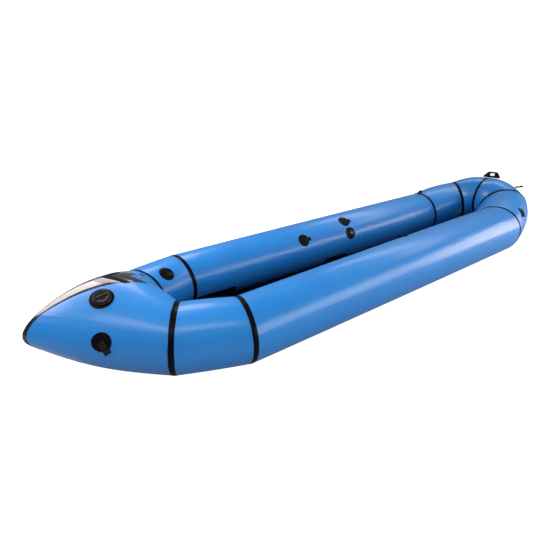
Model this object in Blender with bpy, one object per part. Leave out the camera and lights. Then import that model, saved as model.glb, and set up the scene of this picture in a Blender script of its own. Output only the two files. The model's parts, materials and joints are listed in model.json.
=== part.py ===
"""Tandem packraft: a closed loop of inflated fabric tube with a pointed bow, a floor sheet and fittings.

Metres, +Z up. +X runs from the bow to the stern, port is -Y. The origin is on the ground, mid-boat.
Each fabric section is a thin open-ended skin of its own, and tapes cover the seams where the sections meet.
"""

import math

import bmesh
import bpy
import numpy as np
from mathutils import Matrix, Vector
from mathutils.bvhtree import BVHTree

# Hull plan, port half. The starboard half mirrors it.
ELBOW_X = -1.1386
HALF_WIDTH = 0.332
ELBOW_R = 0.150
BOW_R = 0.152
REAR_R = 0.184
QUARTER_R = 0.1683
STERN_R = 0.1677
ELBOW_LENGTH = 0.278
ELBOW_TURN = math.radians(21.7)
ELBOW_RISE = math.radians(1.5)
BOW_TURN = math.radians(43.6)
BOW_RISE = math.radians(5.7)
SIDE_LENGTH = 2.368
QUARTER_LENGTH = 0.4106
QUARTER_TURN = math.radians(17.03)
QUARTER_LIFT = 0.0934
STERN_REACH = 0.4873
STERN_LIFT = 0.1661

# How far the quarter and stern sections swell between their seams, most on the side that faces out and up
SWELL = (0.0, 0.0, 0.0235, 0.0270)
SWELL_SIDE = tuple(math.radians(side) for side in (0, 0, 5, 45))
SWELL_ROWS = 7

# Bow, seen from the side: the tip, the crotch, and how far ridge and keel bow away from their chord
TIP = (-0.767, 0.236)
CROTCH = (-0.200, 0.173)
RIDGE_BOW = (0.128, 0.180, -0.069)
KEEL_BOW = (0.099, 0.159, -0.157)
RING_FLARE = 0.107
EDGE_ROUND = 0.283
RIDGE_ROUND = -0.093

# Skins, tapes and clearances
SIDES = 36
BOW_RINGS = 8
SKIN = 0.0006
TAPE = 0.0005
TAPE_CLEAR = 0.0009
GAP = 0.0004
FLOOR = 0.0010
FLOOR_CLEAR = 0.0022
RING_TAPE_WIDTH = 0.024
STERN_TAPE_WIDTH = 0.0205
STRIP_LIFT = 0.0012
STRIP_WIDTH = 0.058
STRIP_EDGE = 0.007
STRIP_START = 0.073
STRIP_FULL = 0.711
STRIP_END = 0.735
KEEL_TAPE_HALF = 0.012

# Fittings
PATCH = 0.0008
PATCH_LIFT = 0.0010
TAB_WIDTH = 0.025
TAB_LENGTH = 0.056
TAB_THICK = 0.003
TAB_LIFT = 0.0004
LOOP_PLACE = (0.30, 47.0)
LOOP_TURN = -130
LOOP_LENGTH = 0.085
LOOP_WIDTH = 0.060
CORNER_PLACE = (0.20, 62.0)
CORNER_LEAN = math.radians(40)
CORNER_LENGTH = 0.064
CORNER_HALF = 0.0045
CORNER_ROLL = 0.0075
HANDLE_BACK = 0.060
HANDLE_LIFT = 0.0062
HANDLE_HALF = 0.0055
HANDLE_OUTER = (
    (-0.076, 0.0025), (-0.073, 0.010), (-0.058, 0.029), (-0.046, 0.045), (-0.036, 0.053), (0.036, 0.053),
    (0.046, 0.045), (0.058, 0.029), (0.073, 0.010), (0.076, 0.0025), (0.024, 0.0025), (-0.024, 0.0025),
)
HANDLE_INNER = (
    (-0.014, 0.018), (-0.018, 0.021), (-0.019, 0.028), (-0.018, 0.036), (-0.014, 0.040), (0.014, 0.040),
    (0.018, 0.036), (0.019, 0.028), (0.018, 0.021), (0.014, 0.018), (0.006, 0.0175), (-0.006, 0.0175),
)
ROUND = 20

UP = np.array([0.0, 0.0, 1.0])
MIRROR = np.array([1.0, -1.0, 1.0])
SIDES_OF_BOAT = (("port", 1.0), ("starboard", -1.0))


def unit(v):
    v = np.asarray(v, float)
    return v / np.linalg.norm(v)


def clear_scene():
    for obj in list(bpy.data.objects):
        bpy.data.objects.remove(obj, do_unlink=True)


def make_material(name, colour, roughness, metallic=0.0):
    material = bpy.data.materials.new(name)
    material.use_nodes = True
    shader = material.node_tree.nodes["Principled BSDF"]
    shader.inputs["Base Color"].default_value = (*colour, 1.0)
    shader.inputs["Roughness"].default_value = roughness
    shader.inputs["Metallic"].default_value = metallic
    return material


def add_object(name, points, faces, material, matrix=None):
    """A mesh object. Faces that point in are turned round, so the solid always faces out."""
    mesh = bpy.data.meshes.new(name)
    mesh.from_pydata([tuple(map(float, p)) for p in points], [], faces)
    bm = bmesh.new()
    bm.from_mesh(mesh)
    bmesh.ops.recalc_face_normals(bm, faces=bm.faces)
    if bm.calc_volume(signed=True) < 0:
        bmesh.ops.reverse_faces(bm, faces=bm.faces)
    bm.to_mesh(mesh)
    bm.free()
    mesh.shade_smooth()
    mesh.set_sharp_from_angle(angle=math.radians(35))
    mesh.materials.append(material)
    obj = bpy.data.objects.new(name, mesh)
    if matrix is not None:
        obj.matrix_world = matrix
    bpy.context.scene.collection.objects.link(obj)
    return obj


def side_name(base, side):
    return f"{base}_{side}"


# Rings of the tube


def ring_frame(before, after):
    """Outboard and upward directions in the mitre plane between two tube directions, and the mitre's stretch."""
    normal = unit(unit(before) + unit(after))
    outboard = unit(np.cross(UP, normal))
    outboard = outboard if outboard[1] < 0 or abs(outboard[1]) < 1e-9 else -outboard
    upward = np.cross(normal, outboard)
    upward = upward if upward[2] > 0 else -upward
    return outboard, upward, 1.0 / float(unit(before) @ normal)


def ring(centre, radius, before, after, outboard_hint):
    """Points and outward normals round a mitred tube end: outboard, top, inboard, bottom."""
    outboard, upward, stretch = ring_frame(before, after)
    if outboard @ outboard_hint < 0:
        outboard = -outboard
    angle = np.linspace(0, 2 * math.pi, SIDES, endpoint=False)[:, None]
    points = centre + radius * (np.cos(angle) * outboard * stretch + np.sin(angle) * upward)
    normals = np.cos(angle) * outboard + np.sin(angle) * upward
    return points, normals


def forward(turn, rise):
    """Direction towards the bow, turned inboard from -X and raised, on the port side."""
    flat = math.cos(rise)
    return np.array([-math.cos(turn) * flat, math.sin(turn) * flat, math.sin(rise)])


def hull_stations():
    """Tube centres and rings of the port half, from the bow seam to the stern's centre seam."""
    lift = FLOOR + FLOOR_CLEAR
    elbow = np.array([ELBOW_X, -HALF_WIDTH, ELBOW_R + lift])
    bow = elbow + forward(ELBOW_TURN, ELBOW_RISE) * ELBOW_LENGTH
    rear = np.array([ELBOW_X + SIDE_LENGTH, -HALF_WIDTH, REAR_R + lift])
    quarter = rear + np.array(
        [QUARTER_LENGTH * math.cos(QUARTER_TURN), QUARTER_LENGTH * math.sin(QUARTER_TURN), QUARTER_LIFT]
    )
    stern = np.array([rear[0] + STERN_REACH, 0.0, STERN_R + STERN_LIFT + lift])
    centres = [bow, elbow, rear, quarter, stern]
    ways = [unit(b - a) for a, b in zip(centres[:-1], centres[1:])]
    ways = [-forward(BOW_TURN, BOW_RISE), *ways, unit(ways[-1] * np.array([-1.0, 1.0, -1.0]))]
    radii = [BOW_R, ELBOW_R, REAR_R, QUARTER_R, STERN_R]
    hints = [-np.array([0, 1.0, 0])] * 3 + [np.array([1.0, -1.0, 0]), np.array([1.0, 0, 0])]
    return [
        (centre, *ring(centre, radius, ways[i], ways[i + 1], hints[i]))
        for i, (centre, radius) in enumerate(zip(centres, radii))
    ]


# Skins: a grid of points, round and along, given a thickness inwards


def grid_normals(grid):
    """Outward normals of a grid whose rows are closed loops, from its neighbours' differences."""
    along = np.gradient(grid, axis=0)
    around = np.roll(grid, -1, axis=1) - np.roll(grid, 1, axis=1)
    normals = np.cross(around, along)
    normals /= np.maximum(np.linalg.norm(normals, axis=2, keepdims=True), 1e-12)
    middle = grid.mean(axis=1, keepdims=True)
    return normals * np.sign(((grid - middle) * normals).sum(axis=(1, 2), keepdims=True))


def split_quad(a, b, c, d):
    """Two triangles with the same diagonal every time, so that the two sides of a thin skin stay parallel."""
    return [(a, b, c), (a, c, d)]


def loop_faces(rows, columns, offset=0):
    faces = []
    for i in range(rows - 1):
        for j in range(columns):
            here, there = offset + i * columns, offset + (i + 1) * columns
            after = (j + 1) % columns
            faces += split_quad(here + j, here + after, there + after, there + j)
    return faces


def closed_skin(outer, inner):
    """One closed body between two grids of closed loops, open through the middle."""
    rows, columns = outer.shape[:2]
    count = rows * columns
    points = np.concatenate([outer.reshape(-1, 3), inner.reshape(-1, 3)])
    faces = loop_faces(rows, columns) + [f[::-1] for f in loop_faces(rows, columns, count)]
    for row in (0, rows - 1):
        for j in range(columns):
            a, b = row * columns + j, row * columns + (j + 1) % columns
            faces.append((a, b, count + b, count + a))
    return points, faces


def closed_sheet(outer, inner):
    """One closed body between two open grids with the same number of rows and columns."""
    rows, columns = outer.shape[:2]
    count = rows * columns
    points = np.concatenate([outer.reshape(-1, 3), inner.reshape(-1, 3)])
    faces = []
    for i in range(rows - 1):
        for j in range(columns - 1):
            a = i * columns + j
            for face in split_quad(a, a + 1, a + columns + 1, a + columns):
                faces += [face, tuple(count + k for k in reversed(face))]
    border = [j for j in range(columns)]
    border += [i * columns + columns - 1 for i in range(1, rows)]
    border += [(rows - 1) * columns + j for j in range(columns - 2, -1, -1)]
    border += [i * columns for i in range(rows - 2, 0, -1)]
    for a, b in zip(border, border[1:] + border[:1]):
        faces.append((a, b, count + b, count + a))
    return points, faces


def mirrored(result, sign):
    points, faces = result
    return (points * (MIRROR if sign < 0 else 1.0), faces)


def swell(index, share, azimuth):
    """How far a section's surface stands off the straight lines between its rings."""
    return SWELL[index] * math.sin(math.pi * share) * ((1 + np.cos(azimuth - SWELL_SIDE[index])) / 2) ** 2


def tube_rows(stations, index):
    """Rows of a section's outer surface from ring to ring, and their normals."""
    (_, a, normal_a), (_, b, normal_b) = stations[index], stations[index + 1]
    angle = np.linspace(0, 2 * math.pi, SIDES, endpoint=False)
    rows, normals = [], []
    for share in np.linspace(0, 1, SWELL_ROWS if SWELL[index] else 2):
        normal = normal_a * (1 - share) + normal_b * share
        normal /= np.linalg.norm(normal, axis=1, keepdims=True)
        rows.append(a * (1 - share) + b * share + normal * swell(index, share, angle)[:, None])
        normals.append(normal)
    return np.array(rows), np.array(normals)


def tube_section(stations, index):
    """Skin between two rings, drawn back from each so that neighbouring sections don't touch."""
    outer, normals = tube_rows(stations, index)
    for end, inside in ((0, 1), (-1, -2)):
        way = outer[inside] - outer[end]
        outer[end] += way / np.linalg.norm(way, axis=1, keepdims=True) * GAP / 2
    return closed_skin(outer, outer - SKIN * normals)


def seam_band(before, ring_points, after, normals, width):
    """Tape over a mitre seam, bent along it. before and after are the next rings each way."""
    back = (before - ring_points) / np.linalg.norm(before - ring_points, axis=1, keepdims=True)
    ahead = (after - ring_points) / np.linalg.norm(after - ring_points, axis=1, keepdims=True)
    rows = np.stack([ring_points + back * width / 2, ring_points, ring_points + ahead * width / 2])
    ways = [back, (ahead - back), ahead]
    lows, highs = [], []
    for row, way in zip(rows, ways):
        way = way / np.linalg.norm(way, axis=1, keepdims=True)
        square = normals - (normals * way).sum(axis=1, keepdims=True) * way
        square /= np.linalg.norm(square, axis=1, keepdims=True)
        lows.append(row + square * TAPE_CLEAR)
        highs.append(row + square * (TAPE_CLEAR + TAPE))
    return closed_skin(np.stack(highs), np.stack(lows))


# Bow


def centre_plane_edge(angle):
    """The bow's outline in the centre-plane: 0 at the tip, then the ridge, the crotch at pi, and the keel."""
    angle = np.asarray(angle, float)
    part = (1 - np.cos(angle)) / 2
    swell = np.abs(np.sin(angle))
    x = ELBOW_X + TIP[0] + (CROTCH[0] - TIP[0]) * part
    chord = TIP[1] + (CROTCH[1] - TIP[1]) * part + FLOOR + FLOOR_CLEAR
    ridge = chord + swell * (RIDGE_BOW[0] + RIDGE_BOW[1] * part + RIDGE_BOW[2] * part**2)
    keel = chord - swell * (KEEL_BOW[0] + KEEL_BOW[1] * part + KEEL_BOW[2] * part**2)
    return np.stack([x, np.zeros_like(x), np.where(np.sin(angle) >= 0, ridge, keel)], axis=-1)


def bow_surface(stations, angle, share):
    """Points of the port bow half: share 0 on the bow seam's ring, 1 on the centre-plane edge."""
    centre, seam, normals = stations[0]
    angle = np.asarray(angle, float)[:, None]
    outboard, upward = normals[0], normals[SIDES // 4]
    stretch = np.linalg.norm(seam[0] - centre) / BOW_R
    start = centre + BOW_R * (np.cos(angle) * outboard * stretch + np.sin(angle) * upward)
    radial = np.cos(angle) * outboard + np.sin(angle) * upward
    end = centre_plane_edge(angle[:, 0])
    middle = np.array(
        [ELBOW_X + (TIP[0] + CROTCH[0]) / 2, 0.0, (TIP[1] + CROTCH[1]) / 2 + FLOOR + FLOOR_CLEAR]
    )
    chord = end - start
    length = np.linalg.norm(chord, axis=1, keepdims=True)
    chord = chord / length
    outward = end - middle
    outward /= np.linalg.norm(outward, axis=1, keepdims=True)
    leave = chord + RING_FLARE * radial
    leave *= length / np.linalg.norm(leave, axis=1, keepdims=True)
    arrive = chord - (EDGE_ROUND + RIDGE_ROUND * np.maximum(np.sin(angle), 0)) * outward
    arrive *= length / np.linalg.norm(arrive, axis=1, keepdims=True)
    u = np.asarray(share, float)[:, None, None]
    return (
        (2 * u**3 - 3 * u**2 + 1) * start
        + (u**3 - 2 * u**2 + u) * leave
        + (3 * u**2 - 2 * u**3) * end
        + (u**3 - u**2) * arrive
    )


def bow_panel(stations):
    angle = np.linspace(0, 2 * math.pi, SIDES, endpoint=False)
    outer = bow_surface(stations, angle, np.linspace(0.0, 1.0, BOW_RINGS + 1))
    first = outer[1] - outer[0]
    outer[0] += first / np.linalg.norm(first, axis=1, keepdims=True) * GAP / 2
    normals = grid_normals(outer)
    outer[-1, :, 1] -= GAP / 2
    normals[-1, :, 1] = 0.0
    normals[-1] /= np.linalg.norm(normals[-1], axis=1, keepdims=True)
    return outer, closed_skin(outer, outer - SKIN * normals)


def surface_normal(stations, angle, share):
    step = 1e-3
    low, high = max(share - step, 0.0), min(share + step, 1.0)
    row = bow_surface(stations, [angle - step, angle + step], [share])[0]
    column = bow_surface(stations, [angle], [low, high])[:, 0]
    normal = unit(np.cross(row[1] - row[0], column[1] - column[0]))
    middle = bow_surface(stations, np.linspace(0, 6, 9), [share])[0].mean(axis=0)
    point = bow_surface(stations, [angle], [share])[0, 0]
    return normal if normal @ (point - middle) > 0 else -normal


def share_at_width(stations, angle, half_width):
    """How far out on the surface, as a share, the point that lies half_width off the centre-plane is."""
    low, high = 0.0, 1.0
    for _ in range(40):
        share = (low + high) / 2
        if -bow_surface(stations, [angle], [share])[0, 0][1] > half_width:
            low = share
        else:
            high = share
    return (low + high) / 2


def centre_strip(stations, angles, half_width, lift, thickness, across=4):
    """A strip laid over the seam between the bow panels, as wide as half_width(angle) says on each side."""
    low, high = [], []
    for angle in angles:
        edge = share_at_width(stations, angle, half_width(angle))
        port = []
        for share in np.linspace(edge, 1.0, across + 1):
            point = bow_surface(stations, [angle], [share])[0, 0]
            normal = surface_normal(stations, angle, share)
            if share == 1.0:
                normal = unit(normal * np.array([1.0, 0.0, 1.0]))
                point = point * np.array([1.0, 0.0, 1.0])
            port.append((point, normal))
        row = port + [(p * MIRROR, n * MIRROR) for p, n in reversed(port[:-1])]
        low.append([p + n * lift for p, n in row])
        high.append([p + n * (lift + thickness) for p, n in row])
    return closed_sheet(np.array(high), np.array(low))


def strip_half_width(angle):
    part = (1 - math.cos(angle)) / 2
    grown = min(max((part - STRIP_START) / (STRIP_FULL - STRIP_START), 0.0), 1.0)
    return max(KEEL_TAPE_HALF, STRIP_WIDTH * math.sin(math.pi / 2 * grown) + STRIP_EDGE)


# Frames and hosts for the fittings


def tube_frame(stations, index, x, azimuth):
    """Frame on a port tube at a place along the boat."""
    start, end = stations[index][0], stations[index + 1][0]
    return section_frame(stations, index, (x - start[0]) / (end[0] - start[0]), azimuth)


def section_frame(stations, index, share, azimuth):
    """Frame on a port tube: position, direction along it and outward normal.

    share is 0 at the section's first ring and 1 at its second. azimuth is 0 outboard, 90 on top and
    180 inboard, in degrees.
    """
    (start, a, _), (end, b, _) = stations[index], stations[index + 1]
    turn = math.radians(azimuth) / (2 * math.pi) * SIDES
    low = int(turn) % SIDES
    part = turn - int(turn)
    low_line = a[low] + (b[low] - a[low]) * share
    high_line = a[(low + 1) % SIDES] + (b[(low + 1) % SIDES] - a[(low + 1) % SIDES]) * share
    point = low_line * (1 - part) + high_line * part
    along = unit(b[low] - a[low])
    normal = point - (start + (end - start) * share)
    normal = unit(normal - (normal @ along) * along)
    return point + normal * swell(index, share, math.radians(azimuth)), along, normal


def seated(tree, frame):
    """The frame moved along its normal onto its host, and turned square to it there."""
    point, along, normal = frame
    hit, facing = tree.ray_cast(Vector(point + normal * 0.06), Vector(-normal))[:2]
    facing = np.array(facing) * math.copysign(1.0, np.array(facing) @ normal)
    return np.array(hit), unit(along - (along @ facing) * facing), facing


def bow_frame(stations, x, y, upper=True):
    """Frame on the port bow half at plan position x, y, with its direction pointing aft."""
    best = None
    for angle in np.linspace(0.05, math.pi - 0.05, 60) if upper else np.linspace(-1.2, 1.2, 60):
        shares = np.linspace(0.02, 0.98, 60)
        column = bow_surface(stations, [angle], shares)[:, 0]
        for share, point in zip(shares, column):
            distance = math.hypot(point[0] - x, (point[1] if upper else point[2]) - y)
            if best is None or distance < best[0]:
                best = (distance, angle, share, point)
    _, angle, share, point = best
    normal = surface_normal(stations, angle, share)
    along = unit(np.array([1.0, 0, 0]) - normal[0] * normal)
    return point, along, normal


def turned_frame(frame, degrees):
    """The same frame with its direction turned in the surface's tangent plane."""
    point, along, normal = frame
    across = np.cross(normal, along)
    turn = math.radians(degrees)
    return point, unit(along * math.cos(turn) + across * math.sin(turn)), normal


def mirrored_frame(frame, sign):
    point, along, normal = frame
    return (point * MIRROR, along * MIRROR, normal * MIRROR) if sign < 0 else frame


def frame_matrix(frame, height=0.0):
    point, along, normal = frame
    across = np.cross(normal, along)
    origin = point + normal * height
    return Matrix(
        [
            (along[0], across[0], normal[0], origin[0]),
            (along[1], across[1], normal[1], origin[1]),
            (along[2], across[2], normal[2], origin[2]),
            (0, 0, 0, 1),
        ]
    )


def host_tree(objects):
    points, faces = [], []
    for obj in objects:
        base = len(points)
        points += [obj.matrix_world @ v.co for v in obj.data.vertices]
        faces += [tuple(base + k for k in p.vertices) for p in obj.data.polygons]
    return BVHTree.FromPolygons(points, faces)


def laid_on(tree, frame, outline_rows):
    """Points of a flat pattern, in the frame's plane, dropped onto the host along the frame's normal."""
    point, along, normal = frame
    across = np.cross(normal, along)
    rows = []
    for pattern in outline_rows:
        row = []
        for u, v in pattern:
            start = point + along * u + across * v + normal * 0.06
            hit = tree.ray_cast(Vector(start), Vector(-normal))[0]
            row.append(np.array(hit) + normal * PATCH_LIFT)
        rows.append(row)
    return np.array(rows)


def disc_patch(tree, frame, radius, hole=0.0):
    """A round patch that follows its host. A hole of 0 leaves a small centre point instead."""
    rings = max(2, round((radius - hole) / 0.013))
    inner = max(hole, 0.002)
    radii = np.linspace(inner, radius, rings + 1)
    angles = np.linspace(0, 2 * math.pi, ROUND, endpoint=False)
    low = laid_on(tree, frame, [[(r * math.cos(t), r * math.sin(t)) for t in angles] for r in radii])
    high = low + frame[2] * PATCH
    if hole > 0:
        return closed_skin(high, low)
    rows, columns = low.shape[:2]
    points, faces = closed_skin(high, low)
    count = rows * columns
    faces = faces[: -2 * columns] + faces[-columns:]
    faces += [tuple(range(columns))[::-1], tuple(count + j for j in range(columns))]
    return points, faces


def rectangle_patch(tree, frame, length, width):
    long_cells, wide_cells = max(2, round(length / 0.045)), max(2, round(width / 0.013))
    low = laid_on(
        tree,
        frame,
        [
            [(u, v) for v in np.linspace(-width / 2, width / 2, wide_cells + 1)]
            for u in np.linspace(-length / 2, length / 2, long_cells + 1)
        ],
    )
    return closed_sheet(low + frame[2] * PATCH, low)


def turned(profile, steps=ROUND):
    """A closed profile of (radius, height) points, turned round local Z. A radius of 0 closes on the axis."""
    points, faces, rows = [], [], []
    for radius, height in profile:
        if radius == 0:
            rows.append([len(points)])
            points.append((0.0, 0.0, height))
            continue
        rows.append(list(range(len(points), len(points) + steps)))
        points += [
            (radius * math.cos(2 * math.pi * k / steps), radius * math.sin(2 * math.pi * k / steps), height)
            for k in range(steps)
        ]
    closes_on_axis = profile[0][0] == 0 and profile[-1][0] == 0
    pairs = list(zip(rows[:-1], rows[1:])) if closes_on_axis else list(zip(rows, rows[1:] + rows[:1]))
    for a, b in pairs:
        for k in range(steps):
            n = (k + 1) % steps
            if len(a) == 1:
                faces.append((a[0], b[k], b[n]))
            elif len(b) == 1:
                faces.append((a[k], b[0], a[n]))
            else:
                faces.append((a[k], b[k], b[n], a[n]))
    return points, faces


def prism(outline, low, high):
    """An outline in local X and Z, extruded along local Y."""
    count = len(outline)
    points = [(x, low, z) for x, z in outline] + [(x, high, z) for x, z in outline]
    faces = [tuple(range(count)), tuple(range(2 * count - 1, count - 1, -1))]
    faces += [(k, (k + 1) % count, count + (k + 1) % count, count + k) for k in range(count)]
    return points, faces


def arc(centre, radius, start, end, steps):
    return [
        (centre[0] + radius * math.cos(t), centre[1] + radius * math.sin(t))
        for t in np.linspace(math.radians(start), math.radians(end), steps + 1)
    ]


def lash_tab(length=TAB_LENGTH, width=TAB_WIDTH):
    """A folded webbing tab, hinged on local Y through its rounded root, lying along local X."""
    half = TAB_THICK / 2
    outline = arc((0, 0), half, 90, 270, 4) + arc((length - half, 0), half, -90, 90, 4)
    return prism(outline, -width / 2, width / 2)


# Sub-parts


def build_hull(stations, blue, black):
    sections = ["elbow_tube", "side_tube", "quarter_tube", "stern_tube"]
    hosts = {}
    panel_grid, panel = bow_panel(stations)
    for side, sign in SIDES_OF_BOAT:
        hosts["bow", side] = add_object(side_name("bow_panel", side), *mirrored(panel, sign), blue)
        for k, section in enumerate(sections):
            solid = tube_section(stations, k)
            hosts[section, side] = add_object(side_name(section, side), *mirrored(solid, sign), blue)
    rows = [tube_rows(stations, k)[0] for k in range(len(sections))]
    tapes = [
        ("bow_seam_tape", panel_grid[1], 0, RING_TAPE_WIDTH),
        ("elbow_seam_tape", rows[0][-2], 1, RING_TAPE_WIDTH),
        ("quarter_seam_tape", rows[1][-2], 2, STERN_TAPE_WIDTH),
        ("corner_seam_tape", rows[2][-2], 3, STERN_TAPE_WIDTH),
    ]
    for side, sign in SIDES_OF_BOAT:
        for name, before, k, width in tapes:
            band = seam_band(before, stations[k][1], rows[k][1], stations[k][2], width)
            add_object(side_name(name, side), *mirrored(band, sign), black)
    beside, stern = rows[3][-2], stations[4][1]
    band = seam_band(beside, stern, beside * MIRROR, stations[4][2], RING_TAPE_WIDTH)
    add_object("stern_seam_tape", *band, black)
    return hosts


def build_bow_trim(stations, black):
    last = math.acos(1 - 2 * STRIP_END)
    strip = centre_strip(
        stations, np.linspace(-0.06, last, 18), strip_half_width, STRIP_LIFT, TAPE, 3
    )
    add_object("bow_ridge_strip", *strip, black)
    keel = centre_strip(
        stations, np.linspace(-2.6, -0.085, 14), lambda angle: KEEL_TAPE_HALF, STRIP_LIFT, TAPE, 2
    )
    add_object("keel_tape", *keel, black)


def build_floor(stations, black):
    """Floor sheet between the lowest lines of the tubes, from the bow seams to the corner seams."""
    bottom = 3 * SIDES // 4
    lowest = [station[1][bottom] for station in stations[:3]]
    edge = np.array([*lowest, *tube_rows(stations, 2)[0][1:, bottom]]) - UP * FLOOR_CLEAR
    edge[1:3, 2] = FLOOR
    top = np.array([[p, p * MIRROR] for p in edge])
    add_object("floor_sheet", *closed_sheet(top, top - UP * FLOOR), black)


def build_main_valve(stations, hosts, black, dark):
    frame = bow_frame(stations, ELBOW_X - 0.488, -0.102)
    tree = host_tree([hosts["bow", "port"]])
    add_object("main_valve_patch", *disc_patch(tree, frame, 0.0465, 0.0245), black)
    seat = frame_matrix(frame, PATCH_LIFT + PATCH + GAP)
    base = [(0.022, -0.012), (0.024, -0.012), (0.024, 0.0), (0.036, 0.0), (0.036, 0.004)]
    base += [(0.033, 0.0065), (0.0262, 0.0065), (0.0262, 0.002), (0.022, 0.002)]
    add_object("main_valve_base", *turned(base, 28), dark, seat)
    insert = [(0.017, -0.010), (0.0216, -0.010), (0.0216, 0.0024), (0.0258, 0.0024), (0.0258, 0.009)]
    add_object("main_valve_insert", *turned([*insert, (0.017, 0.009)], 28), dark, seat)
    flap = [(0, -0.0111), (0.0205, -0.0111), (0.0205, -0.0103), (0, -0.0103)]
    add_object("main_valve_flap", *turned(flap), dark, seat)
    hinge = np.array([0.038, 0.0, 0.008])
    cap = [(0, 0.0095), (0.0266, 0.0095), (0.0266, 0.0070), (0.031, 0.0070), (0.031, 0.0115)]
    cap += [(0.029, 0.0128), (0, 0.0128)]
    points, faces = turned(cap, 28)
    solid = add_object("main_valve_cap", np.array(points) - hinge, faces, dark)
    lug_points, lug_faces = prism(
        arc((0, 0), 0.0011, -90, 90, 4) + [(-0.009, 0.0011), (-0.009, -0.0008)], -0.005, 0.005
    )
    lug = add_object("cap_lug", lug_points, lug_faces, dark)
    grip_outline = [(-0.060, 0.003), (-0.016, 0.003), (-0.017, 0.0085), (-0.059, 0.0085)]
    grip_points, grip_faces = prism(grip_outline, -0.003, 0.003)
    grip = add_object("cap_grip", grip_points, grip_faces, dark)
    for extra in (lug, grip):
        join = solid.modifiers.new("join", "BOOLEAN")
        join.operation = "UNION"
        join.object = extra
        extra.parent = solid
        extra.hide_render = True
        extra.display_type = "WIRE"
    solid.matrix_world = seat @ Matrix.Translation(hinge)
    tether = [(0.0364, 0.0), (0.0400, 0.0), (0.0400, 0.0060), (0.0364, 0.0060)]
    points, faces = prism(tether, -0.005, 0.005)
    add_object("main_valve_tether", points, faces, black, seat)
    cut_hole(hosts["bow", "port"], frame, 0.0245)
    return frame


def cut_hole(host, frame, radius):
    points, faces = turned([(0, -0.03), (radius, -0.03), (radius, 0.03), (0, 0.03)], ROUND)
    cutter = add_object(host.name + "_cutter", points, faces, host.data.materials[0], frame_matrix(frame))
    cutter.hide_render = True
    cutter.display_type = "WIRE"
    cut = host.modifiers.new("valve_hole", "BOOLEAN")
    cut.operation = "DIFFERENCE"
    cut.object = cutter


def build_mouth_valve(stations, hosts, black, dark):
    frame = mirrored_frame(tube_frame(stations, 1, ELBOW_X + 1.266, 156), -1)
    tree = host_tree([hosts["side_tube", "starboard"]])
    add_object("mouth_valve_patch", *disc_patch(tree, frame, 0.044, 0.0125), black)
    seat = frame_matrix(frame, PATCH_LIFT + PATCH + GAP)
    base = [(0.0095, -0.010), (0.012, -0.010), (0.012, 0.0), (0.020, 0.0), (0.020, 0.003)]
    base += [(0.016, 0.005), (0.0095, 0.005)]
    add_object("mouth_valve_base", *turned(base), dark, seat)
    knob = [(0, -0.008), (0.0091, -0.008), (0.0091, 0.0054), (0.015, 0.0054), (0.015, 0.012)]
    knob += [(0.012, 0.014), (0, 0.014)]
    add_object("mouth_valve_knob", *turned(knob), dark, seat)
    cut_hole(hosts["side_tube", "starboard"], frame, 0.0125)


def build_lash_points(stations, hosts, black, webbing):
    """Round patches with a webbing tab each, in mirrored pairs."""
    bow = turned_frame(bow_frame(stations, ELBOW_X - 0.538, 0.243, False), -74)
    elbow = turned_frame(tube_frame(stations, 0, ELBOW_X - 0.160, 128), 35)
    cockpit = tube_frame(stations, 1, ELBOW_X + 0.830, 143)
    top = turned_frame(tube_frame(stations, 1, ELBOW_X + 1.263, 122), 10)
    points = {
        "bow_lash": (bow, "bow", 0.038, 0.054),
        "elbow_lash": (elbow, "elbow_tube", 0.040, 0.036),
        "cockpit_lash": (cockpit, "side_tube", 0.042, TAB_LENGTH),
        "top_lash": (top, "side_tube", 0.044, TAB_LENGTH),
    }
    for side, sign in SIDES_OF_BOAT:
        for name, (frame, host, radius, length) in points.items():
            placed = mirrored_frame(frame, sign)
            tree = host_tree([hosts[host, side]])
            add_object(side_name(name + "_patch", side), *disc_patch(tree, placed, radius), black)
            height = PATCH_LIFT + PATCH + TAB_LIFT + TAB_THICK / 2
            seat = frame_matrix(placed, height)
            add_object(side_name(name + "_tab", side), *lash_tab(length), webbing, seat)
        frame = mirrored_frame(turned_frame(section_frame(stations, 2, *LOOP_PLACE), LOOP_TURN), sign)
        frame = seated(host_tree([hosts["quarter_tube", side]]), frame)
        height = 2 * GAP + TAB_THICK / 2
        loop = lash_tab(LOOP_LENGTH, LOOP_WIDTH)
        add_object(side_name("quarter_loop", side), *loop, webbing, frame_matrix(frame, height))


def build_small_tabs(stations, hosts, black, webbing):
    """Tabs sewn into seams and low on the tubes: they stand proud and don't swing."""
    for side, sign in SIDES_OF_BOAT:
        tree = host_tree([hosts["side_tube", side]])
        for name, x, length in (("seat_patch_fore", 0.150, 0.26), ("seat_patch_aft", 1.130, 0.22)):
            frame = mirrored_frame(tube_frame(stations, 1, ELBOW_X + x, 218), sign)
            add_object(side_name(name, side), *rectangle_patch(tree, frame, length, 0.065), black)
        frame = mirrored_frame(tube_frame(stations, 1, ELBOW_X + 1.871, 205), sign)
        outline = [(-0.020, 0.0), (0.020, 0.0), (0.004, 0.022), (-0.004, 0.022)]
        add_object(
            side_name("floor_tab", side), *prism(outline, -0.0015, 0.0015), webbing,
            frame_matrix(frame, PATCH_LIFT),
        )
    anchor = mirrored_frame(bow_frame(stations, ELBOW_X - 0.273, -0.075), -1)
    tree = host_tree([hosts["bow", "starboard"]])
    add_object("bow_anchor_patch", *disc_patch(tree, anchor, 0.0150), black)
    crown = stations[2][1][SIDES // 4]
    frame = (crown * MIRROR, np.array([0, 1.0, 0]), UP)
    outline = arc((0, 0.015), 0.012, 0, 180, 8) + [(-0.013, 0.0), (0.013, 0.0)]
    add_object("quarter_top_tab", *prism(outline, -0.012, 0.012), webbing, frame_matrix(frame, 0.0045))


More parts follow.
